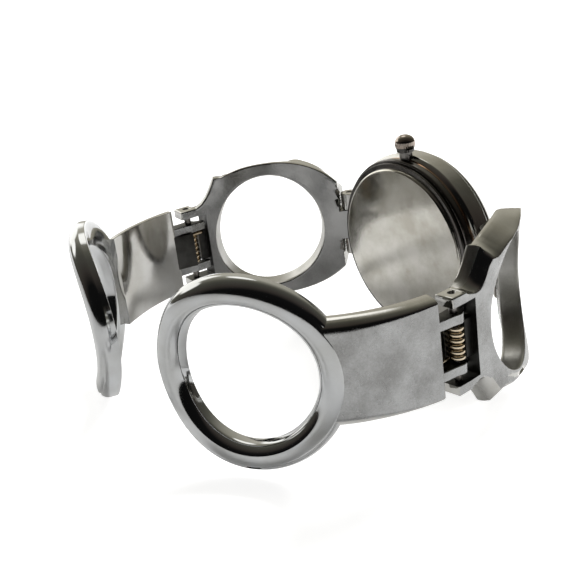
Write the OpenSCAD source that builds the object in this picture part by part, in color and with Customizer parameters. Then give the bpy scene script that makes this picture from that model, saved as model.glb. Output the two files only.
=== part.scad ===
// Bracelet watch: a round case on a rigid open cuff with ring links, sprung hinges and end rings.
// Millimetres. +Z is the wrist's axis and the crown's side, the dial faces -Y, 12 o'clock faces -X.

/* [Case] */
// Diameter of the case
case_d = 27.2; // [26.6:0.1:30]
// Height from the caseback's face to the top edge of the case side
case_h = 5.4; // [5.2:0.1:6.2]
// Inset of the caseback's flange from the case's side
flange_in = 0.85; // [0.6:0.05:1.1]
// Inset of the caseback's flat face from its flange
face_in = 0.75; // [0.5:0.05:1]
// Thickness of the caseback at its centre
back_t = 0.9; // [0.6:0.05:0.95]
// Height of the case's back face, where the caseback's flange seats
back_seat_h = 1; // [0.8:0.05:1.2]
// Thickness of the case's wall round the movement
case_wall = 2.3; // [2:0.1:2.5]
// Height of the dial's underside
dial_h = 4.9; // [4.7:0.1:5.2]
// Thickness of the dial
dial_t = 0.4; // [0.3:0.05:0.5]
// Width of the ledge round the dial opening
ledge_w = 0.6; // [0.4:0.05:0.9]

/* [Bezel and crystal] */
// Inset of the bezel's foot from the case's side
bezel_in = 0.5; // [0.35:0.05:0.6]
// Slope of the bezel from its foot to its top
bezel_slope = 0.8; // [0.5:0.05:0.95]
// Height of the top of the bezel
bezel_top_h = 7.3; // [7.1:0.1:8]
// Inset of the crystal from the bezel's foot
crystal_in = 1.75; // [1.7:0.05:1.9]
// Thickness of the crystal at its edge
crystal_t = 1; // [0.8:0.1:1.2]
// Height of the crystal's underside
crystal_h = 6.45; // [6.4:0.05:6.8]
// Width of the crystal gasket
crystal_gasket_w = 0.35; // [0.25:0.05:0.4]

/* [Movement] */
// Width of the movement ring
movement_ring_w = 2.3; // [2:0.1:2.6]
// Height of the main plate's underside
plate_h0 = 2.75; // [2.6:0.05:2.9]
// Height of the main plate's dial side
plate_h1 = 4.2; // [4:0.05:4.25]
// Diameter of the battery as a share of the movement's
battery_share = 0.378; // [0.33:0.002:0.384]
// Thickness of the battery
battery_t = 2.1; // [1.6:0.05:2.1]
// Diameter of the motor coil
coil_d = 1.25; // [0.9:0.05:1.3]
// Length of the motor coil as a share of the movement's diameter
coil_share = 0.333; // [0.24:0.005:0.35]
// Tooth module of the motion work
tooth_module = 0.12; // [0.11:0.005:0.125]
// Teeth of the cannon pinion
cannon_teeth = 10; // [10:1:11]
// Teeth of the minute wheel
minute_wheel_teeth = 30; // [29:1:30]
// Teeth of the minute wheel's pinion
minute_pinion_teeth = 8; // [8:1:9]
// Teeth of the hour wheel
hour_wheel_teeth = 32; // [31:1:32]

/* [Hands] */
// Length of the hour hand
hour_hand_len = 5.4; // [4:0.1:7]
// Length of the minute hand
minute_hand_len = 8.2; // [6:0.1:9.4]
// Width of the hands
hand_w = 0.8; // [0.5:0.05:1.1]
// Thickness of the hands
hand_t = 0.15; // [0.1:0.01:0.2]
// Time shown, hours part
shown_hour = 10; // [1:1:12]
// Time shown, minutes part
shown_minute = 9; // [0:1:59]

/* [Crown] */
// Height of the crown's axis
crown_h = 2.7; // [2.7:0.02:2.8]
// Diameter of the crown
crown_d = 3; // [2.8:0.1:3.4]
// Length of the crown
crown_len = 2.4; // [2:0.1:3]
// Length of the crown's neck that shows above the case
crown_neck = 0.6; // [0.3:0.1:0.9]
// Flutes round the crown
crown_flutes = 24; // [16:1:30]
// Diameter of the winding stem
stem_d = 0.9; // [0.7:0.05:1]
// Travel of the crown when it is pulled out
crown_pull = 1; // [0.6:0.1:1.2]

/* [Ring links] */
// Depth of the cuff's inner face below the caseback at the case
cuff_drop = 4.25; // [4.1:0.05:4.6]
// Distance of the link's start inside the case's side
link_start_in = 0.1; // [0:0.05:0.2]
// Angle of the link where it leaves the case
link_angle = 29.6; // [26:0.2:33]
// Radius of the link's inner face
link_r = 28.6; // [26:0.2:32]
// Length of the link along its inner face, from its start to the hinge pin
link_len = 27.7; // [27:0.1:28.6]
// Thickness of the link
link_t = 2.8; // [2.4:0.1:3.2]
// Place of the ring's centre along the link
link_ring_at = 15.16; // [14.8:0.1:15.4]
// Length of the hole in the link
link_hole_l = 17.3; // [16:0.1:17.6]
// Height of the hole in the link
link_hole_h = 18.2; // [16:0.1:18.6]
// Length of the link's oval outline
link_oval_l = 27.7; // [27:0.1:28]
// Height of the link's oval outline
link_oval_h = 22.4; // [22:0.1:24]
// Fullness of the link's oval, where 2 is an ellipse
link_full = 2.25; // [2:0.05:2.6]
// Height at which the shoulder beside the knuckle starts
shoulder_h = 10.4; // [9:0.1:10.6]
// Distance of the shoulder's top from the hinge pin
shoulder_top_at = 4.9; // [4.5:0.1:6]
// Distance of the shoulder's foot from the hinge pin
shoulder_foot_at = 1.8; // [1.6:0.1:2.6]

/* [Lugs] */
// Distance of the lug pin from the link's start
lug_pin_at = 2.1; // [1.8:0.1:2.4]
// Height across the lug ears
lug_h = 10; // [9:0.1:11]
// Height of the link's tongue between the ears
tongue_h = 4.6; // [4:0.1:5.4]
// Diameter of the lug pin
lug_pin_d = 1; // [0.8:0.05:1.2]

/* [Hinges] */
// Height across the link's knuckles
knuckle_h = 12.6; // [12:0.1:12.8]
// Height of each knuckle of the link
knuckle_t = 1.25; // [1:0.05:1.5]
// Height across the plate's fingers
finger_span = 7.8; // [7.4:0.1:8.6]
// Height of each finger
finger_t = 1.3; // [1:0.05:1.5]
// Diameter of the hinge pin
hinge_pin_d = 1; // [0.8:0.05:1.1]
// Distance of the slot's wall from the pin
slot_wall_at = 2.6; // [2:0.1:2.8]
// Distance of the plate's edge from the pin
plate_edge_at = 2.8; // [2.4:0.1:3.2]
// Diameter of the spring's wire
wire_d = 0.4; // [0.3:0.02:0.44]
// Gap between the spring and the hinge pin
spring_play = 0.12; // [0.08:0.01:0.2]
// Curls of the spring
spring_curls = 5; // [3:1:5]
// Rise of one curl
spring_pitch = 0.9; // [0.88:0.01:0.92]
// Length of the spring's legs
spring_leg = 1.8; // [1:0.1:2]

/* [End plates and rings] */
// Radius of the end plate's inner face
plate_r = 20.2; // [18:0.2:23]
// Length from the hinge pin to the end ring, along the inner face
plate_len = 12.9; // [12:0.1:15]
// Bend of the twelve o'clock end plate at its hinge, inwards
plate_bend_12 = 2.5; // [0:0.1:4]
// Bend of the six o'clock end plate at its hinge, inwards, so below zero it stands open
plate_bend_6 = -4.6; // [-6:0.1:2]
// Thickness of the end plate
plate_t = 2.3; // [2:0.1:2.5]
// Height of the end plate at its inner face
plate_inner_w = 13.8; // [13:0.1:14.2]
// Height of the end plate at its outer face
plate_outer_w = 12; // [11:0.1:12.6]
// Width of the bevel beside the end plate's outer face
plate_bevel = 0.5; // [0.3:0.05:0.7]
// Radius of the end ring's inner face
ring_r = 27; // [25:0.5:45]
// Length of the hole in the end ring
ring_hole_l = 17.6; // [15:0.1:18]
// Height of the hole in the end ring
ring_hole_h = 18; // [16:0.1:18.4]
// Width of the end ring's rim
ring_w = 3.5; // [3:0.1:3.9]
// Thickness of the end ring
ring_t = 2.8; // [2.6:0.1:3.2]
// Radius of the end ring's rounded edges
ring_round = 0.95; // [0.5:0.05:1.2]
// Points round the end ring
ring_points = 56; // [40:2:64]

/* [Fits] */
// Radial clearance of pins and shafts that turn
run_fit = 0.05; // [0.03:0.01:0.08]
// Radial clearance of pins and rings that stay put
seat_fit = 0.02; // [0.01:0.01:0.04]
// Gap between neighbouring faces of the links, plates and ears
face_gap = 0.1; // [0.05:0.01:0.15]

/* [Hidden] */
$fn = 96;
eps = 0.01;
over = 1;

steel = "#b9bbbd";
dark_steel = "#8f8d8a";
brass = "#c9a55a";
rubber = "#2b2b2d";

edge_break = 0.1;
case_r = case_d / 2;
case_chamfer = 0.4;
far = 2 * case_d;
bore_r = case_r - case_wall;
dial_open_r = bore_r - ledge_w;
flange_r = case_r - flange_in;
face_r = flange_r - face_in;
gasket_r = flange_r - 0.45;
gasket_t = 0.33;
gasket_groove_h = 0.7;
spigot_r = gasket_r - gasket_t - seat_fit;
spigot_h = 0.6;
spigot_t = 0.45;
back_step_h = 0.45;
bezel_r = case_r - bezel_in;
bezel_top_r = bezel_r - bezel_slope;
crystal_r = bezel_r - crystal_in;
crystal_seat_r = crystal_r + crystal_gasket_w;
crystal_lip = 0.5;
crystal_bevel = 0.3;
crystal_rise = 0.15;
neck_r = crystal_seat_r + 0.85;
neck_rise = 0.2;
shoulder_rise = 0.5;
bezel_foot_h = 0.4;
dial_top_h = dial_h + dial_t;
neck_top_h = crystal_h + neck_rise;
shoulder_top_h = case_h + shoulder_rise;
crystal_top_h = crystal_h + crystal_t + crystal_rise;
gasket_top_h = crystal_h + crystal_t - 0.4;

// Plan of the cuff on the 6 o'clock side: three arcs of the inner face, each with a heading in degrees.
function arc_center(p, h, r) = p + r * [-sin(h), cos(h)];
function arc_point(c, h, r) = c + r * [sin(h), -cos(h)];
function turn(length, r) = length / r * 180 / PI;
link_start = case_r - link_start_in;
link_p0 = [link_start, -cuff_drop];
link_c = arc_center(link_p0, link_angle, link_r);
hinge_a = link_angle + turn(link_len, link_r);
lug_a = link_angle + turn(lug_pin_at, link_r);
link_ring_a = link_angle + turn(link_ring_at, link_r);
pin_off = link_t / 2;
hinge_p = arc_point(link_c, hinge_a, link_r + pin_off);
lug_p = arc_point(link_c, lug_a, link_r + pin_off);
plate_c = arc_center(arc_point(link_c, hinge_a, link_r), hinge_a, plate_r);
ring_start_a = hinge_a + turn(plate_len, plate_r);
ring_c = arc_center(arc_point(plate_c, ring_start_a, plate_r), ring_start_a, ring_r);
ring_hl = ring_hole_l / 2;
ring_hh = ring_hole_h / 2;
ring_mid_a = ring_start_a + turn(ring_hl + ring_w, ring_r);
ring_off = (link_t - ring_t) / 2;
plate_off = (link_t - plate_t) / 2;
plate_edge_a = hinge_a + turn(plate_edge_at, plate_r);
barrel_r = plate_t / 2;
barrel_proud = 0.1;
spring_r = hinge_pin_d / 2 + spring_play + wire_d / 2;

// A point of the end ring: along the rim's length, up the wrist's axis and out from the inner face.
function on_ring(s, z, off) = let (h = ring_mid_a + turn(s, ring_r), p = arc_point(ring_c, h, ring_r + off))
    [p.x, p.y, z];
function rim_point(q, side, off) = let (a = ring_hl + ring_w / 2, b = ring_hh + ring_w / 2,
        n = [cos(q) / a, sin(q) / b] / norm([cos(q) / a, sin(q) / b]))
    on_ring(a * cos(q) + n.x * side, b * sin(q) + n.y * side, off);
rim_section = [for (corner = [[1, 1, 0], [-1, 1, 90], [-1, -1, 180], [1, -1, 270]], a = [0, 45, 90])
    [corner[0] * (ring_w / 2 - ring_round) + ring_round * cos(corner[2] + a),
     ring_off + ring_t / 2 + corner[1] * (ring_t / 2 - ring_round) + ring_round * sin(corner[2] + a)]];
rim_rings = [for (i = [0 : ring_points - 1]) [for (c = rim_section) rim_point(i * 360 / ring_points, c[0], c[1])]];

// The end plates are bent a little differently at their hinges.
function bend(side) = side < 0 ? plate_bend_12 : plate_bend_6;
function bent_point(p, side) = let (q = [p.x, p.y] - hinge_p, a = bend(side))
    hinge_p + [q.x * cos(a) - q.y * sin(a), q.x * sin(a) + q.y * cos(a)];
module bent(side) translate(hinge_p) rotate(bend(side)) translate(-hinge_p) children();
plate_out_r = plate_r + plate_off + plate_t;
function reach(side) = max(hinge_p.x + pin_off + barrel_proud,
    max([for (ring = rim_rings, p = ring) bent_point(p, side).x]),
    let (h = max(plate_edge_a, 90 - bend(side))) bent_point(arc_point(plate_c, h, plate_out_r), side).x);

// The origin is at the middle of the lowest height, below the centre of the whole watch's box.
mid_x = (reach(1) - reach(-1)) / 2;
y_far = max([for (side = [-1, 1], ring = rim_rings, p = ring) bent_point(p, side).y]);
y_near = -max(bezel_top_h, crystal_top_h);
mid_y = (y_far + y_near) / 2;
floor_z = -case_r;

module placed() translate([-mid_x, -mid_y, -floor_z]) children();
module in_case() placed() rotate([90, 0, 0]) children();
module sided(side) placed() mirror([side < 0 ? 1 : 0, 0, 0]) children();
module at_plan(p, a) translate([p.x, p.y, 0]) rotate([0, 0, a]) children();
module band(c, r, a0, a1) translate([c.x, c.y, 0]) rotate([0, 0, a0 - 90])
    rotate_extrude(angle = a1 - a0, $fn = 180) translate([r, 0]) children();
module tube(r_out, r_in, h0, h1) difference() {
    translate([0, 0, h0]) cylinder(r = r_out, h = h1 - h0);
    translate([0, 0, h0 - over]) cylinder(r = r_in, h = h1 - h0 + 2 * over);
}
module oval(l, h) polygon([for (i = [0 : 71]) [l / 2 * cos(i * 5), h / 2 * sin(i * 5)]]);
module across(depth) rotate([90, 0, 0]) translate([0, 0, -depth / 2]) linear_extrude(depth) children();

// Case, its back and its glass
tube_r = 0.95;
module crown_axis() translate([0, 0, crown_h]) rotate([-90, 0, 0]) children();
lug_ear_t = (lug_h - tongue_h) / 2 - face_gap;
lug_slim = 0.15;
lug_neck = pin_off - lug_slim;
lug_root = 1.5;
module lug_plan() {
    n = [sin(lug_a), -cos(lug_a)];
    translate(lug_p) circle(r = pin_off, $fn = 48);
    low = -cuff_drop - lug_slim;
    high = -cuff_drop - link_t + lug_slim;
    polygon([[link_start - lug_root, low], [link_start + 0.2, low], lug_p - n * lug_neck,
        lug_p + n * lug_neck, [link_start + 0.6, high], [link_start - lug_root, high]]);
}
module lug_pair() difference() {
    for (z = [-lug_h / 2, lug_h / 2 - lug_ear_t]) translate([0, 0, z]) linear_extrude(lug_ear_t) lug_plan();
    rotate([90, 0, 0]) cylinder(r = bezel_r + face_gap, h = far, center = true);
    translate([lug_p.x, lug_p.y, -lug_h]) cylinder(r = lug_pin_d / 2 + seat_fit, h = 2 * lug_h, $fn = 32);
}
module case_body() color(steel) {
    in_case() difference() {
        rotate_extrude($fn = 144) polygon([
            [dial_open_r, dial_top_h], [bore_r, dial_top_h], [bore_r, back_seat_h + gasket_groove_h],
            [gasket_r + seat_fit, back_seat_h + gasket_groove_h], [gasket_r + seat_fit, back_seat_h],
            [case_r - case_chamfer, back_seat_h], [case_r, back_seat_h + case_chamfer], [case_r, case_h],
            [bezel_r + face_gap / 2, shoulder_top_h], [neck_r, shoulder_top_h], [neck_r, neck_top_h],
            [crystal_seat_r + seat_fit, neck_top_h], [crystal_seat_r + seat_fit, crystal_h - edge_break],
            [dial_open_r, crystal_h - edge_break]]);
        crown_axis() cylinder(r = tube_r + seat_fit, h = case_d, $fn = 32);
    }
    for (side = [-1, 1]) sided(side) lug_pair();
}
module caseback() color(steel) in_case() rotate_extrude($fn = 144) polygon([
    [0, 0], [face_r - edge_break, 0], [face_r, edge_break], [face_r, back_step_h],
    [flange_r - edge_break, back_step_h], [flange_r, back_step_h + edge_break], [flange_r, back_seat_h],
    [spigot_r, back_seat_h], [spigot_r, back_seat_h + spigot_h],
    [spigot_r - spigot_t, back_seat_h + spigot_h], [spigot_r - spigot_t, back_t], [0, back_t]]);
module back_gasket() color(rubber) in_case()
    tube(gasket_r, gasket_r - gasket_t, back_seat_h + seat_fit, back_seat_h + spigot_h - edge_break);
module bezel() color(steel) in_case() rotate_extrude($fn = 144) polygon([
    [neck_r + seat_fit, shoulder_top_h], [bezel_r, shoulder_top_h],
    [bezel_r, shoulder_top_h + bezel_foot_h], [bezel_top_r, bezel_top_h],
    [crystal_seat_r + seat_fit, bezel_top_h], [crystal_seat_r + seat_fit, neck_top_h],
    [neck_r + seat_fit, neck_top_h]]);
module crystal() color("#dfe8ec") in_case() rotate_extrude($fn = 144) polygon([
    [0, crystal_h], [crystal_r, crystal_h], [crystal_r, crystal_h + crystal_t - crystal_bevel],
    [crystal_r - crystal_lip, crystal_h + crystal_t], [0, crystal_top_h]]);
module crystal_gasket() color("#e8e8e4") in_case() rotate_extrude($fn = 144) polygon([
    [crystal_r - crystal_lip, crystal_h - edge_break], [crystal_seat_r, crystal_h - edge_break],
    [crystal_seat_r, gasket_top_h], [crystal_r + eps, gasket_top_h],
    [crystal_r + eps, crystal_h - eps], [crystal_r - crystal_lip, crystal_h - eps]]);

// Dial and hands
dial_play = 0.15;
dial_r = bore_r - dial_play;
dial_hole_r = 0.95;
movement_r = dial_r - movement_ring_w + dial_play;
feet_at = movement_r - 0.7;
feet_r = 0.35;
feet_len = 1.2;
module foot_places() for (a = [60, 240]) rotate([0, 0, a]) translate([feet_at, 0, 0]) children();
module dial() color("#f4f3ef") in_case() {
    tube(dial_r, dial_hole_r, dial_h, dial_top_h);
    foot_places() translate([0, 0, dial_h - feet_len]) cylinder(r = feet_r, h = feet_len + eps, $fn = 24);
}
marker_len = 1.5;
marker_w = 0.4;
marker_t = 0.2;
marker_in = 0.6;
module hour_markers() color(steel) in_case()
    for (i = [0 : 11]) if (i % 3 != 0) rotate([0, 0, i * 30])
        translate([dial_open_r - marker_in - marker_len, -marker_w / 2, dial_top_h])
            cube([marker_len, marker_w, marker_t]);
minute_turn = 180 - shown_minute * 6;
hour_turn = 180 - (shown_hour + shown_minute / 60) * 30;
hand_gap = 0.25;
hour_hand_h = dial_top_h + hand_gap;
minute_hand_h = hour_hand_h + hand_t + hand_gap;
hour_hub_r = 1.05;
minute_hub_r = 0.8;
module hand(length, h, hub_r, hole_r) difference() {
    translate([0, 0, h]) linear_extrude(hand_t) union() {
        circle(r = hub_r, $fn = 48);
        polygon([[-length * 0.22, -hand_w * 0.3], [0, -hand_w / 2], [length * 0.7, -hand_w * 0.42],
            [length, 0], [length * 0.7, hand_w * 0.42], [0, hand_w / 2], [-length * 0.22, hand_w * 0.3]]);
    }
    translate([0, 0, h - over]) cylinder(r = hole_r, h = 2 * over, $fn = 48);
}

// Motion work: the cannon pinion turns the minute wheel, whose pinion turns the hour wheel
post_r = 0.22;
wheel_post_r = 0.15;
cannon_r = 0.4;
hour_pipe_r = 0.7;
cannon_pitch = cannon_teeth * tooth_module / 2;
wheel_pitch = minute_wheel_teeth * tooth_module / 2;
pinion_pitch = minute_pinion_teeth * tooth_module / 2;
hour_pitch = hour_wheel_teeth * tooth_module / 2;
work_at = cannon_pitch + wheel_pitch;
work_gap = 0.04;
work_h0 = plate_h1 + work_gap;
work_t = 0.24;
work_h1 = work_h0 + work_t + work_gap;
tooth_foot = 1.15;
tooth_head = 0.75;
module toothed(teeth, pitch, phase) {
    root = pitch - tooth_module * tooth_foot;
    tip = pitch + tooth_module * tooth_head;
    step = 360 / teeth;
    polygon([for (i = [0 : teeth - 1], k = [[-0.27, root], [-0.1, tip], [0.1, tip], [0.27, root]])
        k[1] * [cos((i + k[0]) * step + phase), sin((i + k[0]) * step + phase)]]);
}
module cannon_pinion() color(brass) in_case() difference() {
    union() {
        translate([0, 0, work_h0]) linear_extrude(work_t) toothed(cannon_teeth, cannon_pitch, 0);
        translate([0, 0, work_h0]) cylinder(r = cannon_r, h = minute_hand_h + hand_t - work_h0, $fn = 48);
    }
    translate([0, 0, work_h0 - over]) cylinder(r = post_r + run_fit, h = 2 * over + work_t, $fn = 32);
}
module minute_wheel() color(brass) in_case() translate([work_at, 0, 0]) difference() {
    union() {
        translate([0, 0, work_h0]) linear_extrude(work_t)
            toothed(minute_wheel_teeth, wheel_pitch, 180 + 180 / minute_wheel_teeth);
        translate([0, 0, work_h0]) linear_extrude(2 * work_t + work_gap)
            toothed(minute_pinion_teeth, pinion_pitch, 180);
    }
    translate([0, 0, work_h0 - over]) cylinder(r = wheel_post_r + run_fit, h = far, $fn = 24);
}
module hour_wheel() color(brass) in_case() difference() {
    union() {
        translate([0, 0, work_h1]) linear_extrude(work_t)
            toothed(hour_wheel_teeth, hour_pitch, 180 / hour_wheel_teeth);
        translate([0, 0, work_h1]) cylinder(r = hour_pipe_r, h = hour_hand_h + hand_t - work_h1, $fn = 48);
    }
    translate([0, 0, work_h1 - over]) cylinder(r = cannon_r + run_fit, h = far, $fn = 48);
}
module hour_hand() color("#20242c") in_case() rotate([0, 0, hour_turn])
    hand(hour_hand_len, hour_hand_h, hour_hub_r, hour_pipe_r + seat_fit);
module minute_hand() color("#20242c") in_case() rotate([0, 0, minute_turn])
    hand(minute_hand_len, minute_hand_h, minute_hub_r, cannon_r + seat_fit);

// Movement
battery_r = battery_share * movement_r;
battery_p = [battery_r + 0.7 - movement_r, -0.07 * movement_r];
battery_up = 0.65;
battery_top = plate_h0 + battery_up;
battery_base = battery_top - battery_t;
bridge_p = movement_r * [0.433, 0.067];
bridge_r = 0.278 * movement_r;
bridge_t = 0.75;
board_t = 0.35;
board_in = 0.4;
board_gap = 0.3;
lever_w = 2;
coil_p = movement_r * [-0.056, -0.7];
coil_len = 2 * coil_share * movement_r;
coil_end_t = 0.4;
stem_from = 0.333 * movement_r;
stem_slot_from = 0.167 * movement_r;
stem_notch = [1.5, 1.2, 0.75];
groove_at = 0.711 * movement_r;
groove_w = 0.5;
groove_share = 0.55;
ring_base_gap = 0.7;
ring_base_h = back_seat_h + spigot_h + ring_base_gap;
post_foot = 0.3;
module battery_pocket(extra) translate([battery_p.x, battery_p.y, 0])
    cylinder(r = battery_r + extra, h = battery_top, $fn = 64);
module movement_ring() color("#d8d8d4") in_case() difference() {
    tube(dial_r, movement_r + run_fit, ring_base_h, dial_h);
    translate([-stem_notch.x / 2, movement_r - stem_notch.y, 0])
        cube([stem_notch.x, far, crown_h + stem_notch.z]);
}
module main_plate() color(brass) in_case() difference() {
    union() {
        translate([0, 0, plate_h0]) cylinder(r = movement_r, h = plate_h1 - plate_h0);
        wheel_post(0, post_r);
        wheel_post(work_at, wheel_post_r);
    }
    battery_pocket(run_fit);
    foot_places() translate([0, 0, plate_h0 - over])
        cylinder(r = feet_r + seat_fit, h = plate_h1 - plate_h0 + 2 * over, $fn = 24);
    translate([0, stem_slot_from, crown_h]) rotate([-90, 0, 0]) cylinder(r = stem_d / 2 + run_fit, h = far, $fn = 32);
    translate([-stem_d / 2 - run_fit, stem_slot_from, 0]) cube([stem_d + 2 * run_fit, far, crown_h]);
}
module wheel_post(x, r) translate([x, 0, plate_h1 - post_foot])
    cylinder(r = r, h = work_h1 + work_t - run_fit - plate_h1 + post_foot, $fn = 24);
module train_bridge() color(brass) in_case() translate([bridge_p.x, bridge_p.y, plate_h0 - bridge_t])
    cylinder(r = bridge_r, h = bridge_t, $fn = 64);
module circuit_board() color("#3d7a4a") in_case() difference() {
    translate([0, 0, plate_h0 - board_t]) cylinder(r = movement_r - board_in, h = board_t);
    battery_pocket(board_gap);
    translate([bridge_p.x, bridge_p.y, 0]) cylinder(r = bridge_r + face_gap, h = plate_h0 + over, $fn = 64);
    translate([-stem_d / 2 - board_gap, stem_slot_from - board_gap, 0])
        cube([stem_d + 2 * board_gap, far, plate_h0 + over]);
    translate([-lever_w / 2 - board_gap, groove_at - board_gap, 0])
        cube([lever_w + 2 * board_gap, far, plate_h0 + over]);
}
module motor_coil() color("#b8622f") in_case() translate([coil_p.x, coil_p.y, plate_h0 - board_t - coil_d / 2])
    rotate([0, 90, 0]) {
        cylinder(d = coil_d, h = coil_len, center = true, $fn = 48);
        for (end = [-1, 1]) translate([0, 0, end * (coil_len + coil_end_t) / 2])
            cube([coil_d, coil_d, coil_end_t], center = true);
    }
module battery() color("#c9cbcc") in_case() translate([battery_p.x, battery_p.y, battery_base])
    cylinder(r = battery_r, h = battery_t, $fn = 64);
clamp_w = 1.4;
clamp_t = 0.2;
clamp_foot_at = battery_r + 0.6;
clamp_foot = 0.6;
clamp_reach = battery_r * 0.88;
module battery_clamp() color(steel) in_case() translate([battery_p.x - clamp_w / 2, battery_p.y, battery_base]) {
    translate([0, -clamp_reach, -clamp_t]) cube([clamp_w, clamp_reach + clamp_foot_at + clamp_foot, clamp_t]);
    translate([0, clamp_foot_at, eps - clamp_t])
        cube([clamp_w, clamp_foot, plate_h0 - board_t - battery_base + clamp_t - eps]);
}

// Crown and setting parts; their axis runs through the case wall
crown_r = crown_d / 2;
crown_edge = 0.2;
crown_base = case_r + crown_neck;
tube_from = bore_r + crown_edge;
tube_end = crown_base + crown_pull * 0.6;
crown_bore = tube_end + 0.15;
stem_seat = 0.4;
stem_r = stem_d / 2;
flute_r = 0.16;
flute_out = 0.1;
ring_groove_r = tube_r + 0.3;
ring_groove_from = crown_base + 0.15;
module crown_tube() color(dark_steel) in_case() crown_axis() difference() {
    translate([0, 0, tube_from]) cylinder(r = tube_r, h = tube_end - tube_from, $fn = 48);
    cylinder(r = stem_r + run_fit, h = far, $fn = 32);
}
module crown() color(steel) in_case() crown_axis() difference() {
    union() {
        translate([0, 0, crown_base]) cylinder(r1 = crown_r - crown_edge, r2 = crown_r, h = crown_edge, $fn = 48);
        translate([0, 0, crown_base + crown_edge]) cylinder(r = crown_r, h = crown_len / 2, $fn = 48);
        translate([0, 0, crown_base + crown_edge + crown_len / 2]) intersection() {
            scale(crown_r) sphere(r = 1, $fn = 48);
            cylinder(r = crown_r, h = crown_len / 2 - crown_edge);
        }
    }
    for (i = [0 : crown_flutes - 1]) rotate([0, 0, i * 360 / crown_flutes])
        translate([crown_r + flute_out, 0, crown_base + crown_edge])
            cylinder(r = flute_r, h = crown_len / 2 - flute_out, $fn = 14);
    translate([0, 0, crown_base - over]) cylinder(r = tube_r + run_fit, h = crown_bore - crown_base + over, $fn = 48);
    translate([0, 0, ring_groove_from]) cylinder(r = ring_groove_r, h = ring_groove_r - tube_r, $fn = 48);
    translate([0, 0, crown_base]) cylinder(r = stem_r + seat_fit, h = crown_bore - crown_base + stem_seat + flute_out,
        $fn = 32);
}
module crown_gasket() color(rubber) in_case() crown_axis()
    tube(ring_groove_r - seat_fit, tube_r + run_fit - eps, ring_groove_from + seat_fit,
        ring_groove_from + ring_groove_r - tube_r - seat_fit);
module winding_stem() color(dark_steel) in_case() crown_axis() difference() {
    translate([0, 0, stem_from]) cylinder(r = stem_r, h = crown_bore + stem_seat - stem_from, $fn = 32);
    translate([0, 0, groove_at]) tube(stem_r + flute_out, stem_r * groove_share, 0, groove_w);
}
module setting_lever() color(dark_steel) in_case() difference() {
    translate([-lever_w / 2, groove_at + run_fit, crown_h - stem_r - groove_w])
        cube([lever_w, groove_w - 2 * run_fit, stem_r + groove_w]);
    crown_axis() cylinder(r = stem_r * groove_share + run_fit, h = far, $fn = 32);
}

// Ring links: a bent oval ring with a tongue at the case and two knuckles at the hinge
tongue_side = tongue_h / 2;
cut_deep = 18;
cut_w = 12;
cut_h = 20;
link_root_h = tongue_side + 1.5;
shoulder_turn = 6;
module link_outline() {
    pin_at = (link_r + pin_off) * sin(hinge_a - link_ring_a);
    a = link_oval_l / 2;
    b = link_oval_h / 2;
    top = pin_at - shoulder_top_at;
    foot = pin_at - shoulder_foot_at;
    a0 = acos(pow(top / a, link_full / 2)) + shoulder_turn;
    a1 = 180 - asin(pow(link_root_h / b, link_full / 2));
    upper = concat([[pin_at, knuckle_h / 2], [foot, knuckle_h / 2], [top, shoulder_h]],
        [for (i = [0 : 24]) let (q = a0 + (a1 - a0) * i / 24)
            [a * sign(cos(q)) * pow(abs(cos(q)), 2 / link_full), b * pow(sin(q), 2 / link_full)]],
        [[-a - 3, link_root_h]]);
    polygon(concat(upper, [for (i = [len(upper) - 1 : -1 : 0]) [upper[i].x, -upper[i].y]]));
}
module link(side) color(steel) sided(side) difference() {
    union() {
        intersection() {
            band(link_c, link_r, link_angle, hinge_a) translate([0, -link_oval_h / 2 - 1])
                square([link_t, link_oval_h + 2]);
            at_plan(arc_point(link_c, link_ring_a, link_r), link_ring_a) across(cut_deep) link_outline();
        }
        translate([hinge_p.x, hinge_p.y, -knuckle_h / 2])
            cylinder(r = pin_off + barrel_proud, h = knuckle_h, $fn = 64);
    }
    at_plan(arc_point(link_c, link_ring_a, link_r), link_ring_a) across(cut_deep) oval(link_hole_l, link_hole_h);
    at_plan(hinge_p, hinge_a) translate([-slot_wall_at, -cut_w / 2, -knuckle_h / 2 + knuckle_t])
        cube([cut_w, cut_w, knuckle_h - 2 * knuckle_t]);
    for (z = [tongue_side, -tongue_side - cut_h]) at_plan(lug_p, lug_a)
        translate([-cut_w, -cut_w / 2, z]) cube([cut_w + pin_off + face_gap, cut_w, cut_h]);
    rotate([90, 0, 0]) cylinder(r = case_r + face_gap, h = far, center = true);
    translate([hinge_p.x, hinge_p.y, -knuckle_h]) cylinder(r = hinge_pin_d / 2 + seat_fit, h = 2 * knuckle_h, $fn = 32);
    translate([lug_p.x, lug_p.y, -knuckle_h]) cylinder(r = lug_pin_d / 2 + seat_fit, h = 2 * knuckle_h, $fn = 32);
}
module ring_link_12() link(-1);
module ring_link_6() link(1);
module link_pin(side) color(dark_steel) sided(side) translate([lug_p.x, lug_p.y, -lug_h / 2 + 0.1])
    cylinder(d = lug_pin_d, h = lug_h - 0.2, $fn = 32);
module link_pin_12() link_pin(-1);
module link_pin_6() link_pin(1);

// Hinges
module hinge_pin(side) color(dark_steel) sided(side) translate([hinge_p.x, hinge_p.y, -knuckle_h / 2 + 0.05])
    cylinder(d = hinge_pin_d, h = knuckle_h - 0.1, $fn = 32);
module hinge_pin_12() hinge_pin(-1);
module hinge_pin_6() hinge_pin(1);
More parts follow.
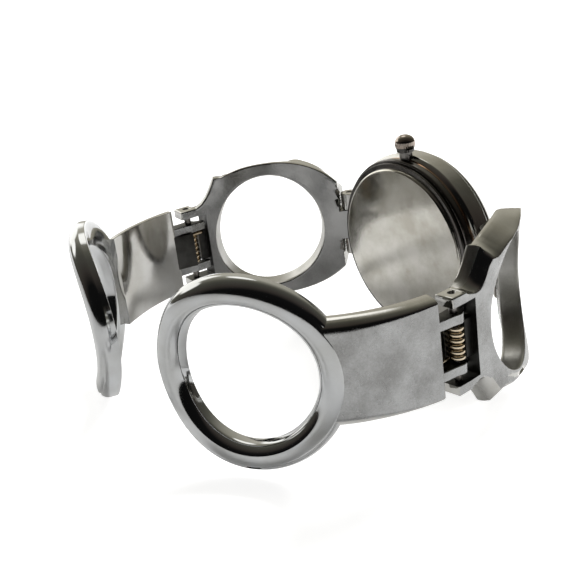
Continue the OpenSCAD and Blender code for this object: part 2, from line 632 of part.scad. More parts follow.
// The spring's line: a leg against the slot's wall, the curls, and a leg inside the end plate
spring_steps = 8;
spring_low = -spring_curls * spring_pitch / 2;
curl_count = spring_curls * spring_steps;
leg_steps = 3;
spring_line = concat(
    [for (i = [leg_steps : -1 : 1]) [spring_r, -i * spring_leg / leg_steps, spring_low]],
    [for (i = [0 : curl_count]) let (a = i * 360 / spring_steps)
        [spring_r * cos(a), spring_r * sin(a), spring_low + i * spring_pitch / spring_steps]],
    [for (i = [1 : leg_steps]) [spring_r, i * spring_leg / leg_steps, -spring_low]]);
spring_n = len(spring_line);
spring_gap = min([for (i = [0 : spring_n - 1], j = [i + 6 : 1 : spring_n - 1])
    norm(spring_line[i] - spring_line[j])]) - wire_d;
wire_sides = 6;
function spring_dir(i) = let (d = spring_line[min(i + 1, spring_n - 1)] - spring_line[max(i - 1, 0)]) d / norm(d);
function wire_ring(i) = let (t = spring_dir(i), u = cross([0, 0, 1], t) / norm(cross([0, 0, 1], t)), v = cross(t, u))
    [for (k = [0 : wire_sides - 1]) spring_line[i]
        + wire_d / 2 * (cos(k * 360 / wire_sides) * u + sin(k * 360 / wire_sides) * v)];
module wire() {
    points = [for (i = [0 : spring_n - 1], p = wire_ring(i)) p];
    faces = concat(
        [for (i = [0 : spring_n - 2], k = [0 : wire_sides - 1]) let (m = (k + 1) % wire_sides)
            [i * wire_sides + k, i * wire_sides + m, (i + 1) * wire_sides + k]],
        [for (i = [0 : spring_n - 2], k = [0 : wire_sides - 1]) let (m = (k + 1) % wire_sides)
            [i * wire_sides + m, (i + 1) * wire_sides + m, (i + 1) * wire_sides + k]],
        [for (k = [1 : wire_sides - 2]) [0, k + 1, k]],
        [for (k = [1 : wire_sides - 2]) let (b = (spring_n - 1) * wire_sides) [b, b + k, b + k + 1]]);
    polyhedron(points = points, faces = [for (f = faces) [f[0], f[2], f[1]]]);
}
module hinge_spring(side) color("#8d6f52") sided(side) at_plan(hinge_p, hinge_a + 90) wire();
module hinge_spring_12() hinge_spring(-1);
module hinge_spring_6() hinge_spring(1);
echo(spring_gap_to_itself = spring_gap);

// End plates: a bent plate with bevelled long edges and two fingers on the hinge pin
module plate_profile() translate([plate_off, 0]) polygon([
    [0, -plate_inner_w / 2], [plate_t - plate_bevel, -plate_outer_w / 2 - plate_bevel / 2],
    [plate_t, -plate_outer_w / 2 + plate_bevel / 2], [plate_t, plate_outer_w / 2 - plate_bevel / 2],
    [plate_t - plate_bevel, plate_outer_w / 2 + plate_bevel / 2], [0, plate_inner_w / 2]]);
ring_seat_in = 1;
ring_seat_a = ring_mid_a - turn(ring_hl + ring_w - ring_seat_in, ring_r);
ring_seat_p = arc_point(ring_c, ring_seat_a, ring_r + link_t / 2);
module ring_seat() {
    t = [cos(ring_seat_a), sin(ring_seat_a)];
    polygon([for (i = [0 : ring_points - 1])
        let (p = rim_point(i * 360 / ring_points, ring_w / 2 + face_gap, ring_off + ring_t / 2))
            [([p.x, p.y] - ring_seat_p) * t, p.z]]);
}
finger_root = 1;
heel_from = 0.3;
heel_share = 0.6;
plate_under_ring = 4.2;
function finger_point(i, off) = arc_point(plate_c,
    hinge_a + turn((plate_edge_at + finger_root) * i / 4, plate_r), plate_r + plate_off + off);
module finger_plan(side) {
    translate(hinge_p) circle(r = barrel_r + barrel_proud, $fn = 64);
    translate(hinge_p) rotate(hinge_a) translate([-slot_wall_at + face_gap, barrel_r * heel_from])
        square([slot_wall_at, barrel_r * heel_share]);
    bent(side) polygon(concat([for (i = [0 : 4]) finger_point(i, barrel_proud)],
        [for (i = [4 : -1 : 0]) finger_point(i, plate_t - barrel_proud)]));
}
module end_plate(side) color(steel) sided(side) difference() {
    union() {
        bent(side) band(plate_c, plate_r, plate_edge_a, ring_start_a + turn(plate_under_ring, plate_r)) plate_profile();
        for (z = [finger_span / 2 - finger_t, -finger_span / 2])
            translate([0, 0, z]) linear_extrude(finger_t) finger_plan(side);
    }
    bent(side) at_plan(ring_seat_p, ring_seat_a) across(cut_deep) ring_seat();
    translate([hinge_p.x, hinge_p.y, -knuckle_h]) cylinder(r = hinge_pin_d / 2 + run_fit, h = 2 * knuckle_h, $fn = 32);
}
module end_plate_12() end_plate(-1);
module end_plate_6() end_plate(1);

// End rings: a rounded section swept round an oval that follows the cuff's curve
module end_ring(side) color(steel) sided(side) bent(side) {
    n = ring_points;
    m = len(rim_section);
    points = [for (ring = rim_rings, p = ring) p];
    polyhedron(points = points, faces = concat(
        [for (i = [0 : n - 1], k = [0 : m - 1]) let (j = (i + 1) % n, l = (k + 1) % m) [i * m + k, j * m + k, i * m + l]],
        [for (i = [0 : n - 1], k = [0 : m - 1]) let (j = (i + 1) % n, l = (k + 1) % m) [j * m + k, j * m + l, i * m + l]]));
}
module end_ring_12() end_ring(-1);
module end_ring_6() end_ring(1);

case_body();
caseback();
back_gasket();
bezel();
crystal();
crystal_gasket();
dial();
hour_markers();
movement_ring();
main_plate();
train_bridge();
circuit_board();
motor_coil();
battery();
battery_clamp();
cannon_pinion();
minute_wheel();
hour_wheel();
hour_hand();
minute_hand();
crown_tube();
crown();
crown_gasket();
winding_stem();
setting_lever();
ring_link_12();
ring_link_6();
link_pin_12();
link_pin_6();
hinge_pin_12();
hinge_pin_6();
hinge_spring_12();
hinge_spring_6();
end_plate_12();
end_plate_6();
end_ring_12();
end_ring_6();
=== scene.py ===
import math
import bpy
from mathutils import Matrix, Vector


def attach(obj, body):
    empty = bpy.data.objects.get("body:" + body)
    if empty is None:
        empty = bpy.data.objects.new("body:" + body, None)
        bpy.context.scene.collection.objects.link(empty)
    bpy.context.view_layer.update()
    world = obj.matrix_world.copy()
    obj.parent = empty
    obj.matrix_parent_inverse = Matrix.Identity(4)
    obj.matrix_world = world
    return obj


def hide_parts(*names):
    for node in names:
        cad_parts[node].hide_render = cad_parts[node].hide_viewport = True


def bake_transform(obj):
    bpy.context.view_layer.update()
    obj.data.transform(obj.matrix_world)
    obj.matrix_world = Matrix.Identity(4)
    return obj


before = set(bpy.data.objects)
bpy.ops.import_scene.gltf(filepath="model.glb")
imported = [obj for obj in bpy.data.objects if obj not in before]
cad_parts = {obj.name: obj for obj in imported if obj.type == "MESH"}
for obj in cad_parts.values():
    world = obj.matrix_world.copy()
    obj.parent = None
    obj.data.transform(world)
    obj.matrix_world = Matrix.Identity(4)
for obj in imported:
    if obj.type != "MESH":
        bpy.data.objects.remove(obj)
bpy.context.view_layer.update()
bpy.ops.object.select_all(action="DESELECT")


# ---- Case body
# The turned steel middle of the watch: the movement's bore, the seat of the back, the neck that the
# bezel is pressed on, and two pairs of lug ears. It is turned, the ears are joined on and the edges broken.

def pick(part, kind, test):
    """Selects the vertices, edges or faces that pass the test and leaves the part open in edit mode."""
    bpy.context.view_layer.objects.active = part
    if part.mode != "OBJECT":
        bpy.ops.object.mode_set(mode="OBJECT")
    bpy.context.tool_settings.mesh_select_mode = [kind == k for k in ("VERT", "EDGE", "FACE")]
    mesh = part.data
    for items in (mesh.vertices, mesh.edges, mesh.polygons):
        items.foreach_set("select", [False] * len(items))
    items = {"VERT": mesh.vertices, "EDGE": mesh.edges, "FACE": mesh.polygons}[kind]
    items.foreach_set("select", [bool(test(item)) for item in items])
    bpy.ops.object.mode_set(mode="EDIT")


def outlined(name, points):
    """A flat face with these corners, in millimetres."""
    bpy.ops.mesh.primitive_circle_add(vertices=len(points), radius=1, fill_type="NGON")
    part = bpy.context.object
    part.name = name
    for corner, place in zip(part.data.vertices, points):
        corner.co = place
    return part


def outward(part):
    """Turns a closed part's faces outwards."""
    mesh = part.data
    mesh.calc_loop_triangles()
    corners = ([mesh.vertices[i].co for i in t.vertices] for t in mesh.loop_triangles)
    if sum(a.dot(b.cross(c)) for a, b, c in corners) < 0:
        pick(part, "FACE", lambda f: True)
        bpy.ops.mesh.flip_normals()
        bpy.ops.object.mode_set(mode="OBJECT")
    return part


def turned(name, section, rounding, steps=144):
    """A part turned about the case's axis from its section, given as radius and height, corners rounded."""
    on_axis = 1e-6
    part = outlined(name, [(r, 0, h) for r, h in section])
    pick(part, "VERT", lambda v: v.co.x > on_axis)
    bpy.ops.mesh.bevel(offset=rounding, segments=3, affect="VERTICES")
    pick(part, "FACE", lambda f: True)
    bpy.ops.mesh.delete(type="ONLY_FACE")
    bpy.ops.object.mode_set(mode="OBJECT")
    places = [v.co.copy() for v in part.data.vertices]
    pick(part, "EDGE", lambda e: all(places[i].x < on_axis for i in e.vertices))
    bpy.ops.mesh.delete(type="EDGE")
    bpy.ops.mesh.select_all(action="SELECT")
    bpy.ops.mesh.spin(steps=steps, angle=math.tau, center=(0, 0, 0), axis=(0, 0, 1))
    bpy.ops.mesh.select_all(action="SELECT")
    bpy.ops.mesh.remove_doubles(threshold=0.0005)
    bpy.ops.mesh.normals_make_consistent(inside=False)
    bpy.ops.object.mode_set(mode="OBJECT")
    return outward(part)


def from_plan(name, points, z0, z1, rounding):
    """A block with this plan between two heights up the wrist, its edges broken."""
    part = outlined(name, [(x, y, z0) for x, y in points])
    pick(part, "FACE", lambda f: True)
    bpy.ops.mesh.extrude_region_move(TRANSFORM_OT_translate={"value": (0, 0, z1 - z0)})
    bpy.ops.mesh.select_all(action="SELECT")
    bpy.ops.mesh.normals_make_consistent(inside=False)
    bpy.ops.mesh.select_all(action="DESELECT")
    bpy.ops.mesh.edges_select_sharp(sharpness=math.radians(50))
    bpy.ops.mesh.bevel(offset=rounding, segments=3)
    bpy.ops.object.mode_set(mode="OBJECT")
    return outward(part)


def cut(part, cutter, how="DIFFERENCE"):
    """Cuts the cutter out of the part, or joins it on, and removes the cutter."""
    step = part.modifiers.new("cut", "BOOLEAN")
    step.object, step.operation, step.solver = cutter, how, "EXACT"
    bpy.context.view_layer.objects.active = part
    bpy.ops.object.modifier_apply(modifier=step.name)
    bpy.data.objects.remove(cutter)


def cleaned(part, split=lambda f: False):
    """Takes out the slivers that cuts leave, and pairs of faces that lie on each other.

    The faces that pass the test are split into triangles first, as such a pair can be a larger face's spur.
    """
    sliver = 0.004
    pick(part, "VERT", lambda v: True)
    bpy.ops.mesh.remove_doubles(threshold=sliver)
    bpy.ops.mesh.select_all(action="SELECT")
    bpy.ops.mesh.dissolve_degenerate(threshold=sliver)
    pick(part, "FACE", split)
    bpy.ops.mesh.quads_convert_to_tris(quad_method="BEAUTY", ngon_method="BEAUTY")
    bpy.ops.object.mode_set(mode="OBJECT")
    uses = {}
    for f in part.data.polygons:
        corners = frozenset(f.vertices)
        uses[corners] = uses.get(corners, 0) + 1
    pick(part, "FACE", lambda f: uses[frozenset(f.vertices)] > 1)
    bpy.ops.mesh.delete(type="FACE")
    bpy.ops.object.mode_set(mode="OBJECT")
    return part


def joined(parts):
    """One object made of these."""
    bpy.ops.object.select_all(action="DESELECT")
    for part in parts:
        part.select_set(True)
    bpy.context.view_layer.objects.active = parts[0]
    bpy.ops.object.join()
    bpy.ops.object.select_all(action="DESELECT")
    return parts[0]


def shaded(part):
    """Lets the large faces lead the shading, up to the sharp edges."""
    bpy.context.view_layer.objects.active = part
    step = part.modifiers.new("normals", "WEIGHTED_NORMAL")
    step.keep_sharp = True
    bpy.ops.object.modifier_apply(modifier=step.name)
    return part


def smoothed(part, angle=35, edge=0.0):
    """Breaks the remaining sharp edges by this much and shades the part smooth."""
    bpy.context.view_layer.objects.active = part
    if edge:
        step = part.modifiers.new("edges", "BEVEL")
        step.width, step.segments = edge, 2
        step.limit_method, step.angle_limit = "ANGLE", math.radians(40)
        step.use_clamp_overlap = True
        bpy.ops.object.modifier_apply(modifier=step.name)
    bpy.ops.object.select_all(action="DESELECT")
    part.select_set(True)
    bpy.ops.object.shade_smooth_by_angle(angle=math.radians(angle))
    part.select_set(False)
    return shaded(part)


# where the case's axis meets the outside of its back, in metres; at rest the axis runs along y
axis_y, axis_z = -0.0199951, 0.0136


def put(part, turn=0.0, side=1):
    """Takes a part from the watch's own millimetres to its place, turned to the case's axis or mirrored."""
    bpy.ops.object.select_all(action="DESELECT")
    part.select_set(True)
    bpy.context.view_layer.objects.active = part
    part.rotation_euler = (turn, 0, 0)
    part.location = (0, axis_y, axis_z)
    part.scale = (0.001 * side, 0.001, 0.001)
    bpy.ops.object.transform_apply(location=True, rotation=True, scale=True)
    if side < 0:
        pick(part, "FACE", lambda f: True)
        bpy.ops.mesh.flip_normals()
        bpy.ops.object.mode_set(mode="OBJECT")
        if part.data.has_custom_normals:
            bpy.ops.mesh.customdata_custom_splitnormals_clear()
            shaded(part)
    part.select_set(False)
    return part


def in_case(part):
    """Takes a turned part to its place on the case's axis."""
    return put(part, turn=math.pi / 2)


def metal_surface():
    """The shared look of worked metal: grain, cloudy polish, hairlines and a stain of a second colour."""
    if "metal_surface" in bpy.data.node_groups:
        return bpy.data.node_groups["metal_surface"]
    group = bpy.data.node_groups.new("metal_surface", "ShaderNodeTree")
    for name, kind, value in (("Colour", "NodeSocketColor", (0.6, 0.6, 0.6, 1)),
                              ("Stain", "NodeSocketColor", (0.5, 0.5, 0.5, 1)),
                              ("Grain Scale", "NodeSocketFloat", 6000), ("Grain Depth", "NodeSocketFloat", 0.1),
                              ("Speckle", "NodeSocketFloat", 0.0), ("Rough Low", "NodeSocketFloat", 0.1),
                              ("Rough High", "NodeSocketFloat", 0.2)):
        socket = group.interface.new_socket(name=name, in_out="INPUT", socket_type=kind)
        socket.default_value = value
    for name, kind in (("Colour", "NodeSocketColor"), ("Roughness", "NodeSocketFloat"),
                       ("Normal", "NodeSocketVector")):
        group.interface.new_socket(name=name, in_out="OUTPUT", socket_type=kind)
    nodes, links = group.nodes, group.links
    give, take = nodes.new("NodeGroupInput"), nodes.new("NodeGroupOutput")
    place = nodes.new("ShaderNodeTexCoord")

    def noise(scale, detail, rough):
        node = nodes.new("ShaderNodeTexNoise")
        node.inputs["Detail"].default_value, node.inputs["Roughness"].default_value = detail, rough
        links.new(place.outputs["Object"], node.inputs["Vector"])
        if scale:
            node.inputs["Scale"].default_value = scale
        return node

    def ranged(source, low, high):
        node = nodes.new("ShaderNodeMapRange")
        node.inputs["From Min"].default_value, node.inputs["From Max"].default_value = low, high
        links.new(source, node.inputs["Value"])
        return node

    stain, speck = ranged(noise(210, 5, 0.6).outputs["Fac"], 0.38, 0.68), noise(4200, 3, 0.7)
    speck_level, mottle = nodes.new("ShaderNodeMath"), nodes.new("ShaderNodeMath")
    speck_level.operation, speck_level.inputs[1].default_value = "SUBTRACT", 0.5
    mottle.operation, mottle.use_clamp = "MULTIPLY_ADD", True
    links.new(speck.outputs["Fac"], speck_level.inputs[0])
    links.new(speck_level.outputs["Value"], mottle.inputs[0])
    links.new(give.outputs["Speckle"], mottle.inputs[1])
    links.new(stain.outputs["Result"], mottle.inputs[2])
    colour = nodes.new("ShaderNodeMix")
    colour.data_type = "RGBA"
    links.new(mottle.outputs["Value"], colour.inputs["Factor"])
    links.new(give.outputs["Colour"], colour.inputs["A"])
    links.new(give.outputs["Stain"], colour.inputs["B"])
    links.new(colour.outputs["Result"], take.inputs["Colour"])

    cloud = ranged(noise(520, 6, 0.62).outputs["Fac"], 0.35, 0.7)
    hairs = nodes.new("ShaderNodeMath")
    hairs.operation = "ABSOLUTE"
    far = noise(330, 2, 0.4)
    stretch = nodes.new("ShaderNodeMapping")
    stretch.inputs["Scale"].default_value = (1, 1, 5)
    stretch.inputs["Rotation"].default_value = (0.4, 0.9, 0.2)
    links.new(place.outputs["Object"], stretch.inputs["Vector"])
    links.new(stretch.outputs["Vector"], far.inputs["Vector"])
    centred = nodes.new("ShaderNodeMath")
    centred.operation = "SUBTRACT"
    links.new(far.outputs["Fac"], centred.inputs[0])
    centred.inputs[1].default_value = 0.5
    links.new(centred.outputs["Value"], hairs.inputs[0])
    line = ranged(hairs.outputs["Value"], 0.006, 0.0)
    both = nodes.new("ShaderNodeMath")
    both.operation = "MAXIMUM"
    links.new(cloud.outputs["Result"], both.inputs[0])
    links.new(line.outputs["Result"], both.inputs[1])
    rough = nodes.new("ShaderNodeMix")
    rough.data_type = "FLOAT"
    links.new(both.outputs["Value"], rough.inputs["Factor"])
    links.new(give.outputs["Rough Low"], rough.inputs["A"])
    links.new(give.outputs["Rough High"], rough.inputs["B"])
    links.new(rough.outputs["Result"], take.inputs["Roughness"])

    grain = noise(0, 3, 0.55)
    links.new(give.outputs["Grain Scale"], grain.inputs["Scale"])
    bump = nodes.new("ShaderNodeBump")
    bump.inputs["Distance"].default_value = 0.00002
    links.new(give.outputs["Grain Depth"], bump.inputs["Strength"])
    links.new(grain.outputs["Fac"], bump.inputs["Height"])
    links.new(bump.outputs["Normal"], take.inputs["Normal"])
    return group


def metal(name, colour, stain, grain, depth, low, high, speckle=0.0):
    """A metal finish that uses the shared surface with its own values."""
    finish = bpy.data.materials.new(name)
    finish.use_nodes = True
    nodes, links = finish.node_tree.nodes, finish.node_tree.links
    shader = nodes["Principled BSDF"]
    shader.inputs["Metallic"].default_value = 1
    surface = nodes.new("ShaderNodeGroup")
    surface.node_tree = metal_surface()
    for key, value in (("Colour", (*colour, 1)), ("Stain", (*stain, 1)), ("Grain Scale", grain),
                       ("Grain Depth", depth), ("Speckle", speckle), ("Rough Low", low), ("Rough High", high)):
        surface.inputs[key].default_value = value
    links.new(surface.outputs["Colour"], shader.inputs["Base Color"])
    links.new(surface.outputs["Roughness"], shader.inputs["Roughness"])
    links.new(surface.outputs["Normal"], shader.inputs["Normal"])
    return finish


def dress(part, finish):
    """Gives all of the part, a new piece or one of the model's own, this finish."""
    if not part.material_slots:
        part.data.materials.append(finish)
    for slot in part.material_slots:
        slot.material = finish


polished = metal("polished_plating", (0.58, 0.575, 0.56), (0.48, 0.47, 0.44), 2600, 0.10, 0.06, 0.14)
case_r, cuff_drop, link_t = 13.6, 4.25, 2.8


def arc_center(p, h, r):
    """The centre of the arc of radius r that passes p with heading h."""
    return p + r * Vector((-math.sin(h), math.cos(h)))


def arc_point(c, h, r):
    """The point of the circle about c where the heading is h."""
    return c + r * Vector((math.sin(h), -math.cos(h)))


# the cuff's plan, inner face: the link's arc from beside the case to the hinge
link_r, link_angle = 28.6, math.radians(29.6)
link_c = arc_center(Vector((13.5, -cuff_drop)), link_angle, link_r)
lug_a = link_angle + 2.1 / link_r
lug_p = arc_point(link_c, lug_a, link_r + link_t / 2)


def rounded_end(p, heading, r, start, stop):
    """Points of a round end about p, between two angles from the heading in degrees."""
    steps = 14
    angles = [heading + math.radians(start + (stop - start) * i / steps) for i in range(steps + 1)]
    return [p + r * Vector((math.cos(a), math.sin(a))) for a in angles]


case = turned("case_middle", [
    (10.7, 5.3), (11.3, 5.3), (11.3, 1.7), (12.32, 1.7), (12.32, 1.0), (13.0, 1.0), (13.2, 1.2), (13.2, 2.0),
    (13.0, 2.2), (13.0, 2.5), (13.35, 2.7), (case_r, 2.95), (case_r, 5.4), (13.15, 5.9), (12.55, 5.9),
    (12.55, 6.65), (11.72, 6.65), (11.72, 6.35), (10.7, 6.35)], 0.13)
smoothed(case)
case.data.materials.append(polished)


def refinish(part, finish, test):
    """Gives the faces that pass the test a second finish."""
    part.data.materials.append(finish)
    pick(part, "FACE", test)
    part.active_material_index = len(part.material_slots) - 1
    bpy.ops.object.material_slot_assign()
    bpy.ops.object.mode_set(mode="OBJECT")


# the plating has worn to the brass in the groove behind the back
worn = metal("worn_plating", (0.46, 0.36, 0.28), (0.42, 0.25, 0.15), 2600, 0.12, 0.10, 0.22)
refinish(case, worn, lambda f: f.center.to_2d().length < 13.14 and 2.05 < f.center.z < 2.6)
# The step round the back of the case gets a near-black metal: painted shade.
step_shade = metal("step_painted_shade", (0.17, 0.165, 0.16), (0.10, 0.09, 0.085), 2600, 0.15, 0.10, 0.22)
refinish(case, step_shade, lambda f: f.center.to_2d().length > 12.3 and f.center.z < 1.95)
in_case(case)
ear_plan = ([(12.0, -4.4), (13.7, -4.4)] + rounded_end(lug_p, lug_a, 1.4, 90, -90)
            + [(14.1, -6.9), (12.0, -6.9)])
ear_z, ear_t, pin_hole_r = 2.4, 2.6, 0.52
ears = []
for z0 in (-ear_z - ear_t, ear_z):
    ear = from_plan("ear", ear_plan, z0, z0 + ear_t, 0.1)
    bpy.ops.mesh.primitive_cylinder_add(vertices=144, radius=13.2, depth=40, rotation=(math.pi / 2, 0, 0))
    cut(ear, bpy.context.object)
    bpy.ops.mesh.primitive_cylinder_add(vertices=48, radius=pin_hole_r, depth=30, location=(*lug_p, 0))
    cut(ear, bpy.context.object)
    ears.append(smoothed(cleaned(ear)))
ears = joined(ears)
far_ears = ears.copy()
far_ears.data = ears.data.copy()
bpy.context.collection.objects.link(far_ears)
put(ears)
put(far_ears, side=-1)
dress(ears, polished)
dress(far_ears, polished)
case = joined([case, ears, far_ears])
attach(case, "case")
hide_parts("case_body")

# ---- Caseback and its gasket
# A turned snap-on back with a raised flat face, polished bright and lightly scuffed by wear. Its spigot
# presses into the case over a rubber ring.
back = turned("caseback_cap", [
    (0, 0), (11.75, 0), (12.0, 0.22), (12.0, 0.5), (12.75, 0.5), (12.75, 1.0), (11.95, 1.0), (11.95, 1.6),
    (11.5, 1.6), (11.5, 0.9), (0, 0.9)], 0.1, steps=180)
smoothed(back)
back_polish = metal("back_polish", (0.68, 0.665, 0.62), (0.50, 0.48, 0.42), 1500, 0.14, 0.10, 0.18, 0.5)
back.data.materials.append(back_polish)
# The back's outer flange gets the same near-black metal: painted shade.
refinish(back, step_shade, lambda f: f.center.to_2d().length > 12.02)
in_case(back)
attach(back, "case")
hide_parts("caseback")


def plain(name, colour, second, rough, scale, bump=0.2, distance=0.00003, metallic=0.0, coat=0.0):
    """A moulded, painted or rubber finish: two close colours in a soft mottle, with a fine relief."""
    finish = bpy.data.materials.new(name)
    finish.use_nodes = True
    nodes, links = finish.node_tree.nodes, finish.node_tree.links
    shader = nodes["Principled BSDF"]
    shader.inputs["Metallic"].default_value = metallic
    shader.inputs["Roughness"].default_value = rough
    shader.inputs["Coat Weight"].default_value = coat
    place, mottle = nodes.new("ShaderNodeTexCoord"), nodes.new("ShaderNodeTexNoise")
    mottle.inputs["Scale"].default_value, mottle.inputs["Detail"].default_value = scale, 5
    ramp, relief = nodes.new("ShaderNodeValToRGB"), nodes.new("ShaderNodeBump")
    ramp.color_ramp.elements[0].color, ramp.color_ramp.elements[1].color = (*colour, 1), (*second, 1)
    ramp.color_ramp.elements[0].position, ramp.color_ramp.elements[1].position = 0.35, 0.7
    relief.inputs["Strength"].default_value, relief.inputs["Distance"].default_value = bump, distance
    links.new(place.outputs["Object"], mottle.inputs["Vector"])
    links.new(mottle.outputs["Fac"], ramp.inputs["Fac"])
    links.new(mottle.outputs["Fac"], relief.inputs["Height"])
    links.new(ramp.outputs["Color"], shader.inputs["Base Color"])
    links.new(relief.outputs["Normal"], shader.inputs["Normal"])
    return finish


rubber = plain("black_rubber", (0.018, 0.018, 0.02), (0.04, 0.04, 0.042), 0.65, 2500, 0.4)
for name in ("back_gasket", "crown_gasket"):
    dress(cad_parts[name], rubber)

# ---- Movement
# A small quartz movement on a brass main plate, in a moulded ring. It is closed in by the back and the
# dial, and each part has the finish of the real one: plated brass, lacquered board, wound copper, nickel.
brass = metal("plated_brass", (0.72, 0.55, 0.27), (0.62, 0.45, 0.20), 5200, 0.25, 0.22, 0.36)
for name in ("main_plate", "train_bridge", "cannon_pinion", "minute_wheel", "hour_wheel"):
    dress(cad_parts[name], brass)
for name, finish in (
        ("movement_ring", plain("white_moulding", (0.72, 0.72, 0.69), (0.80, 0.80, 0.77), 0.5, 1800)),
        ("circuit_board", plain("board_lacquer", (0.02, 0.12, 0.05), (0.04, 0.20, 0.08), 0.3, 900, coat=0.5)),
        ("motor_coil", plain("wound_copper", (0.45, 0.16, 0.06), (0.62, 0.27, 0.10), 0.35, 9000, 0.8,
                             metallic=0.8))):
    dress(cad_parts[name], finish)
nickel = metal("nickel_plate", (0.62, 0.62, 0.60), (0.55, 0.54, 0.52), 4200, 0.2, 0.2, 0.34)
for name in ("battery", "battery_clamp"):
    dress(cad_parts[name], nickel)

# ---- Dial and hands
# A lacquered brass disc with printed numbers and a minute track, bright batons between the numbers, and
# two dark lacquered hands. The print is laid on the disc as thin ink.
dress(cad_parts["dial"], plain("dial_lacquer", (0.82, 0.80, 0.75), (0.87, 0.855, 0.81), 0.22, 3200, 0.06,
                                    0.00001, coat=0.6))
dress(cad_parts["hour_markers"], polished)
ink = plain("printed_ink", (0.012, 0.013, 0.016), (0.022, 0.022, 0.026), 0.35, 5000)
hand_lacquer = plain("hand_lacquer", (0.010, 0.012, 0.018), (0.018, 0.020, 0.028), 0.14, 3000, 0.05, coat=0.8)
for name in ("hour_hand", "minute_hand"):
    dress(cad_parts[name], hand_lacquer)
dial_top, ink_t, number_r, number_size, track_r = 5.3, 0.012, 8.0, 3.1, 10.3
print_parts = []
for number, angle in (("12", 180), ("3", 90), ("6", 0), ("9", 270)):
    bpy.ops.object.text_add()
    letter = bpy.context.object
    letter.data.body, letter.data.size = number, number_size
    letter.data.align_x, letter.data.align_y = "CENTER", "CENTER"
    letter.data.extrude, letter.data.resolution_u = ink_t / 2, 6
    letter.rotation_euler = (0, 0, math.pi / 2)
    turn = math.radians(angle)
    letter.location = (number_r * math.cos(turn), number_r * math.sin(turn), dial_top + 0.008)
    bpy.ops.object.convert(target="MESH")
    bpy.ops.object.transform_apply(location=True, rotation=True, scale=True)
    print_parts.append(bpy.context.object)
for minute in range(60):
    long = minute % 5 == 0
    bpy.ops.mesh.primitive_cube_add(size=1)
    stroke = bpy.context.object
    stroke.scale = (0.62 if long else 0.36, 0.13 if long else 0.06, ink_t)
    at = track_r - stroke.scale.x / 2
    turn = math.radians(minute * 6)
    stroke.location = (at * math.cos(turn), at * math.sin(turn), dial_top + ink_t / 2)
    stroke.rotation_euler = (0, 0, turn)
    bpy.ops.object.transform_apply(location=True, rotation=True, scale=True)
    print_parts.append(stroke)
dial_print = in_case(joined(print_parts))
dial_print.name = "dial_print"
dress(dial_print, ink)
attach(dial_print, "case")
cap = turned("hand_cap", [(0, 6.18), (0.52, 6.18), (0.52, 6.24), (0.34, 6.36), (0, 6.4)], 0.03, steps=48)
in_case(smoothed(cap))
dress(cap, polished)
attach(cap, "minutes")

# ---- Bezel, crystal and its seat ring
# The polished bezel slopes in to a slightly domed mineral glass, which a white plastic ring holds.
bezel = turned("bezel_ring", [
    (12.57, 5.9), (13.1, 5.9), (13.1, 6.3), (12.3, 7.3), (11.72, 7.3), (11.72, 6.65), (12.57, 6.65)], 0.12)
in_case(smoothed(bezel))
dress(bezel, polished)
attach(bezel, "case")
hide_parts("bezel")
glass = turned("watch_glass", [(0, 6.45), (11.35, 6.45), (11.35, 7.15), (10.85, 7.45), (0, 7.6)], 0.06)
in_case(smoothed(glass))
clear = bpy.data.materials.new("mineral_glass")
clear.use_nodes = True
shader = clear.node_tree.nodes["Principled BSDF"]
shader.inputs["Base Color"].default_value = (0.97, 0.985, 0.98, 1)
shader.inputs["Transmission Weight"].default_value = 1
shader.inputs["IOR"].default_value = 1.5
place, dust = clear.node_tree.nodes.new("ShaderNodeTexCoord"), clear.node_tree.nodes.new("ShaderNodeTexNoise")
smear = clear.node_tree.nodes.new("ShaderNodeMapRange")
dust.inputs["Scale"].default_value, dust.inputs["Detail"].default_value = 260, 4
smear.inputs["To Min"].default_value, smear.inputs["To Max"].default_value = 0.0, 0.05
smear.inputs["From Min"].default_value = 0.45
clear.node_tree.links.new(place.outputs["Object"], dust.inputs["Vector"])
clear.node_tree.links.new(dust.outputs["Fac"], smear.inputs["Value"])
clear.node_tree.links.new(smear.outputs["Result"], shader.inputs["Roughness"])
dress(glass, clear)
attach(glass, "case")
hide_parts("crystal")
dress(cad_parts["crystal_gasket"], plain("seat_ring", (0.70, 0.70, 0.68), (0.78, 0.78, 0.76), 0.45, 2000))

# ---- Crown, tube and stem
# A small domed crown with a fluted grip on a plain steel tube; the stem runs in through the case wall.
dark_steel = metal("drawn_pin", (0.30, 0.29, 0.28), (0.20, 0.18, 0.16), 5200, 0.3, 0.24, 0.4)
for name in ("crown_tube", "winding_stem", "setting_lever", "link_pin_12", "link_pin_6"):
    dress(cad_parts[name], dark_steel)
crown_base, grip_from, grip_to, flutes, flute_depth = case_r + 0.6, 0.5, 1.42, 24, 0.03
dome = [(1.5 * math.sin(math.radians(a)), 1.2 + 1.22 * math.cos(math.radians(a)))
        for a in (90, 78, 66, 54, 42, 30, 18, 8)]
crown = turned("crown_knob", [(0, 1.5), (0.85, 1.5), (0.85, 0), (1.3, 0), (1.3, 0.35), (1.4, 0.62),
                              (1.5, 0.95)] + dome + [(0, 2.42)], 0.03, steps=192)
for v in crown.data.vertices:
    radius, angle = math.hypot(v.co.x, v.co.y), math.atan2(v.co.y, v.co.x)
    if radius > 1.3 and grip_from < v.co.z < grip_to:
        depth = flute_depth * max(0.0, math.cos(flutes * angle)) * min(1, (grip_to - v.co.z) / 0.15)
        v.co.x *= 1 - depth / radius
        v.co.y *= 1 - depth / radius
smoothed(crown, 40)
# The crown has a darker, browner metal than the case.
dark_brown_crown = metal("dark_brown_crown", (0.40, 0.35, 0.31), (0.32, 0.21, 0.15), 2600, 0.12, 0.08, 0.18)
crown.data.materials.append(dark_brown_crown)
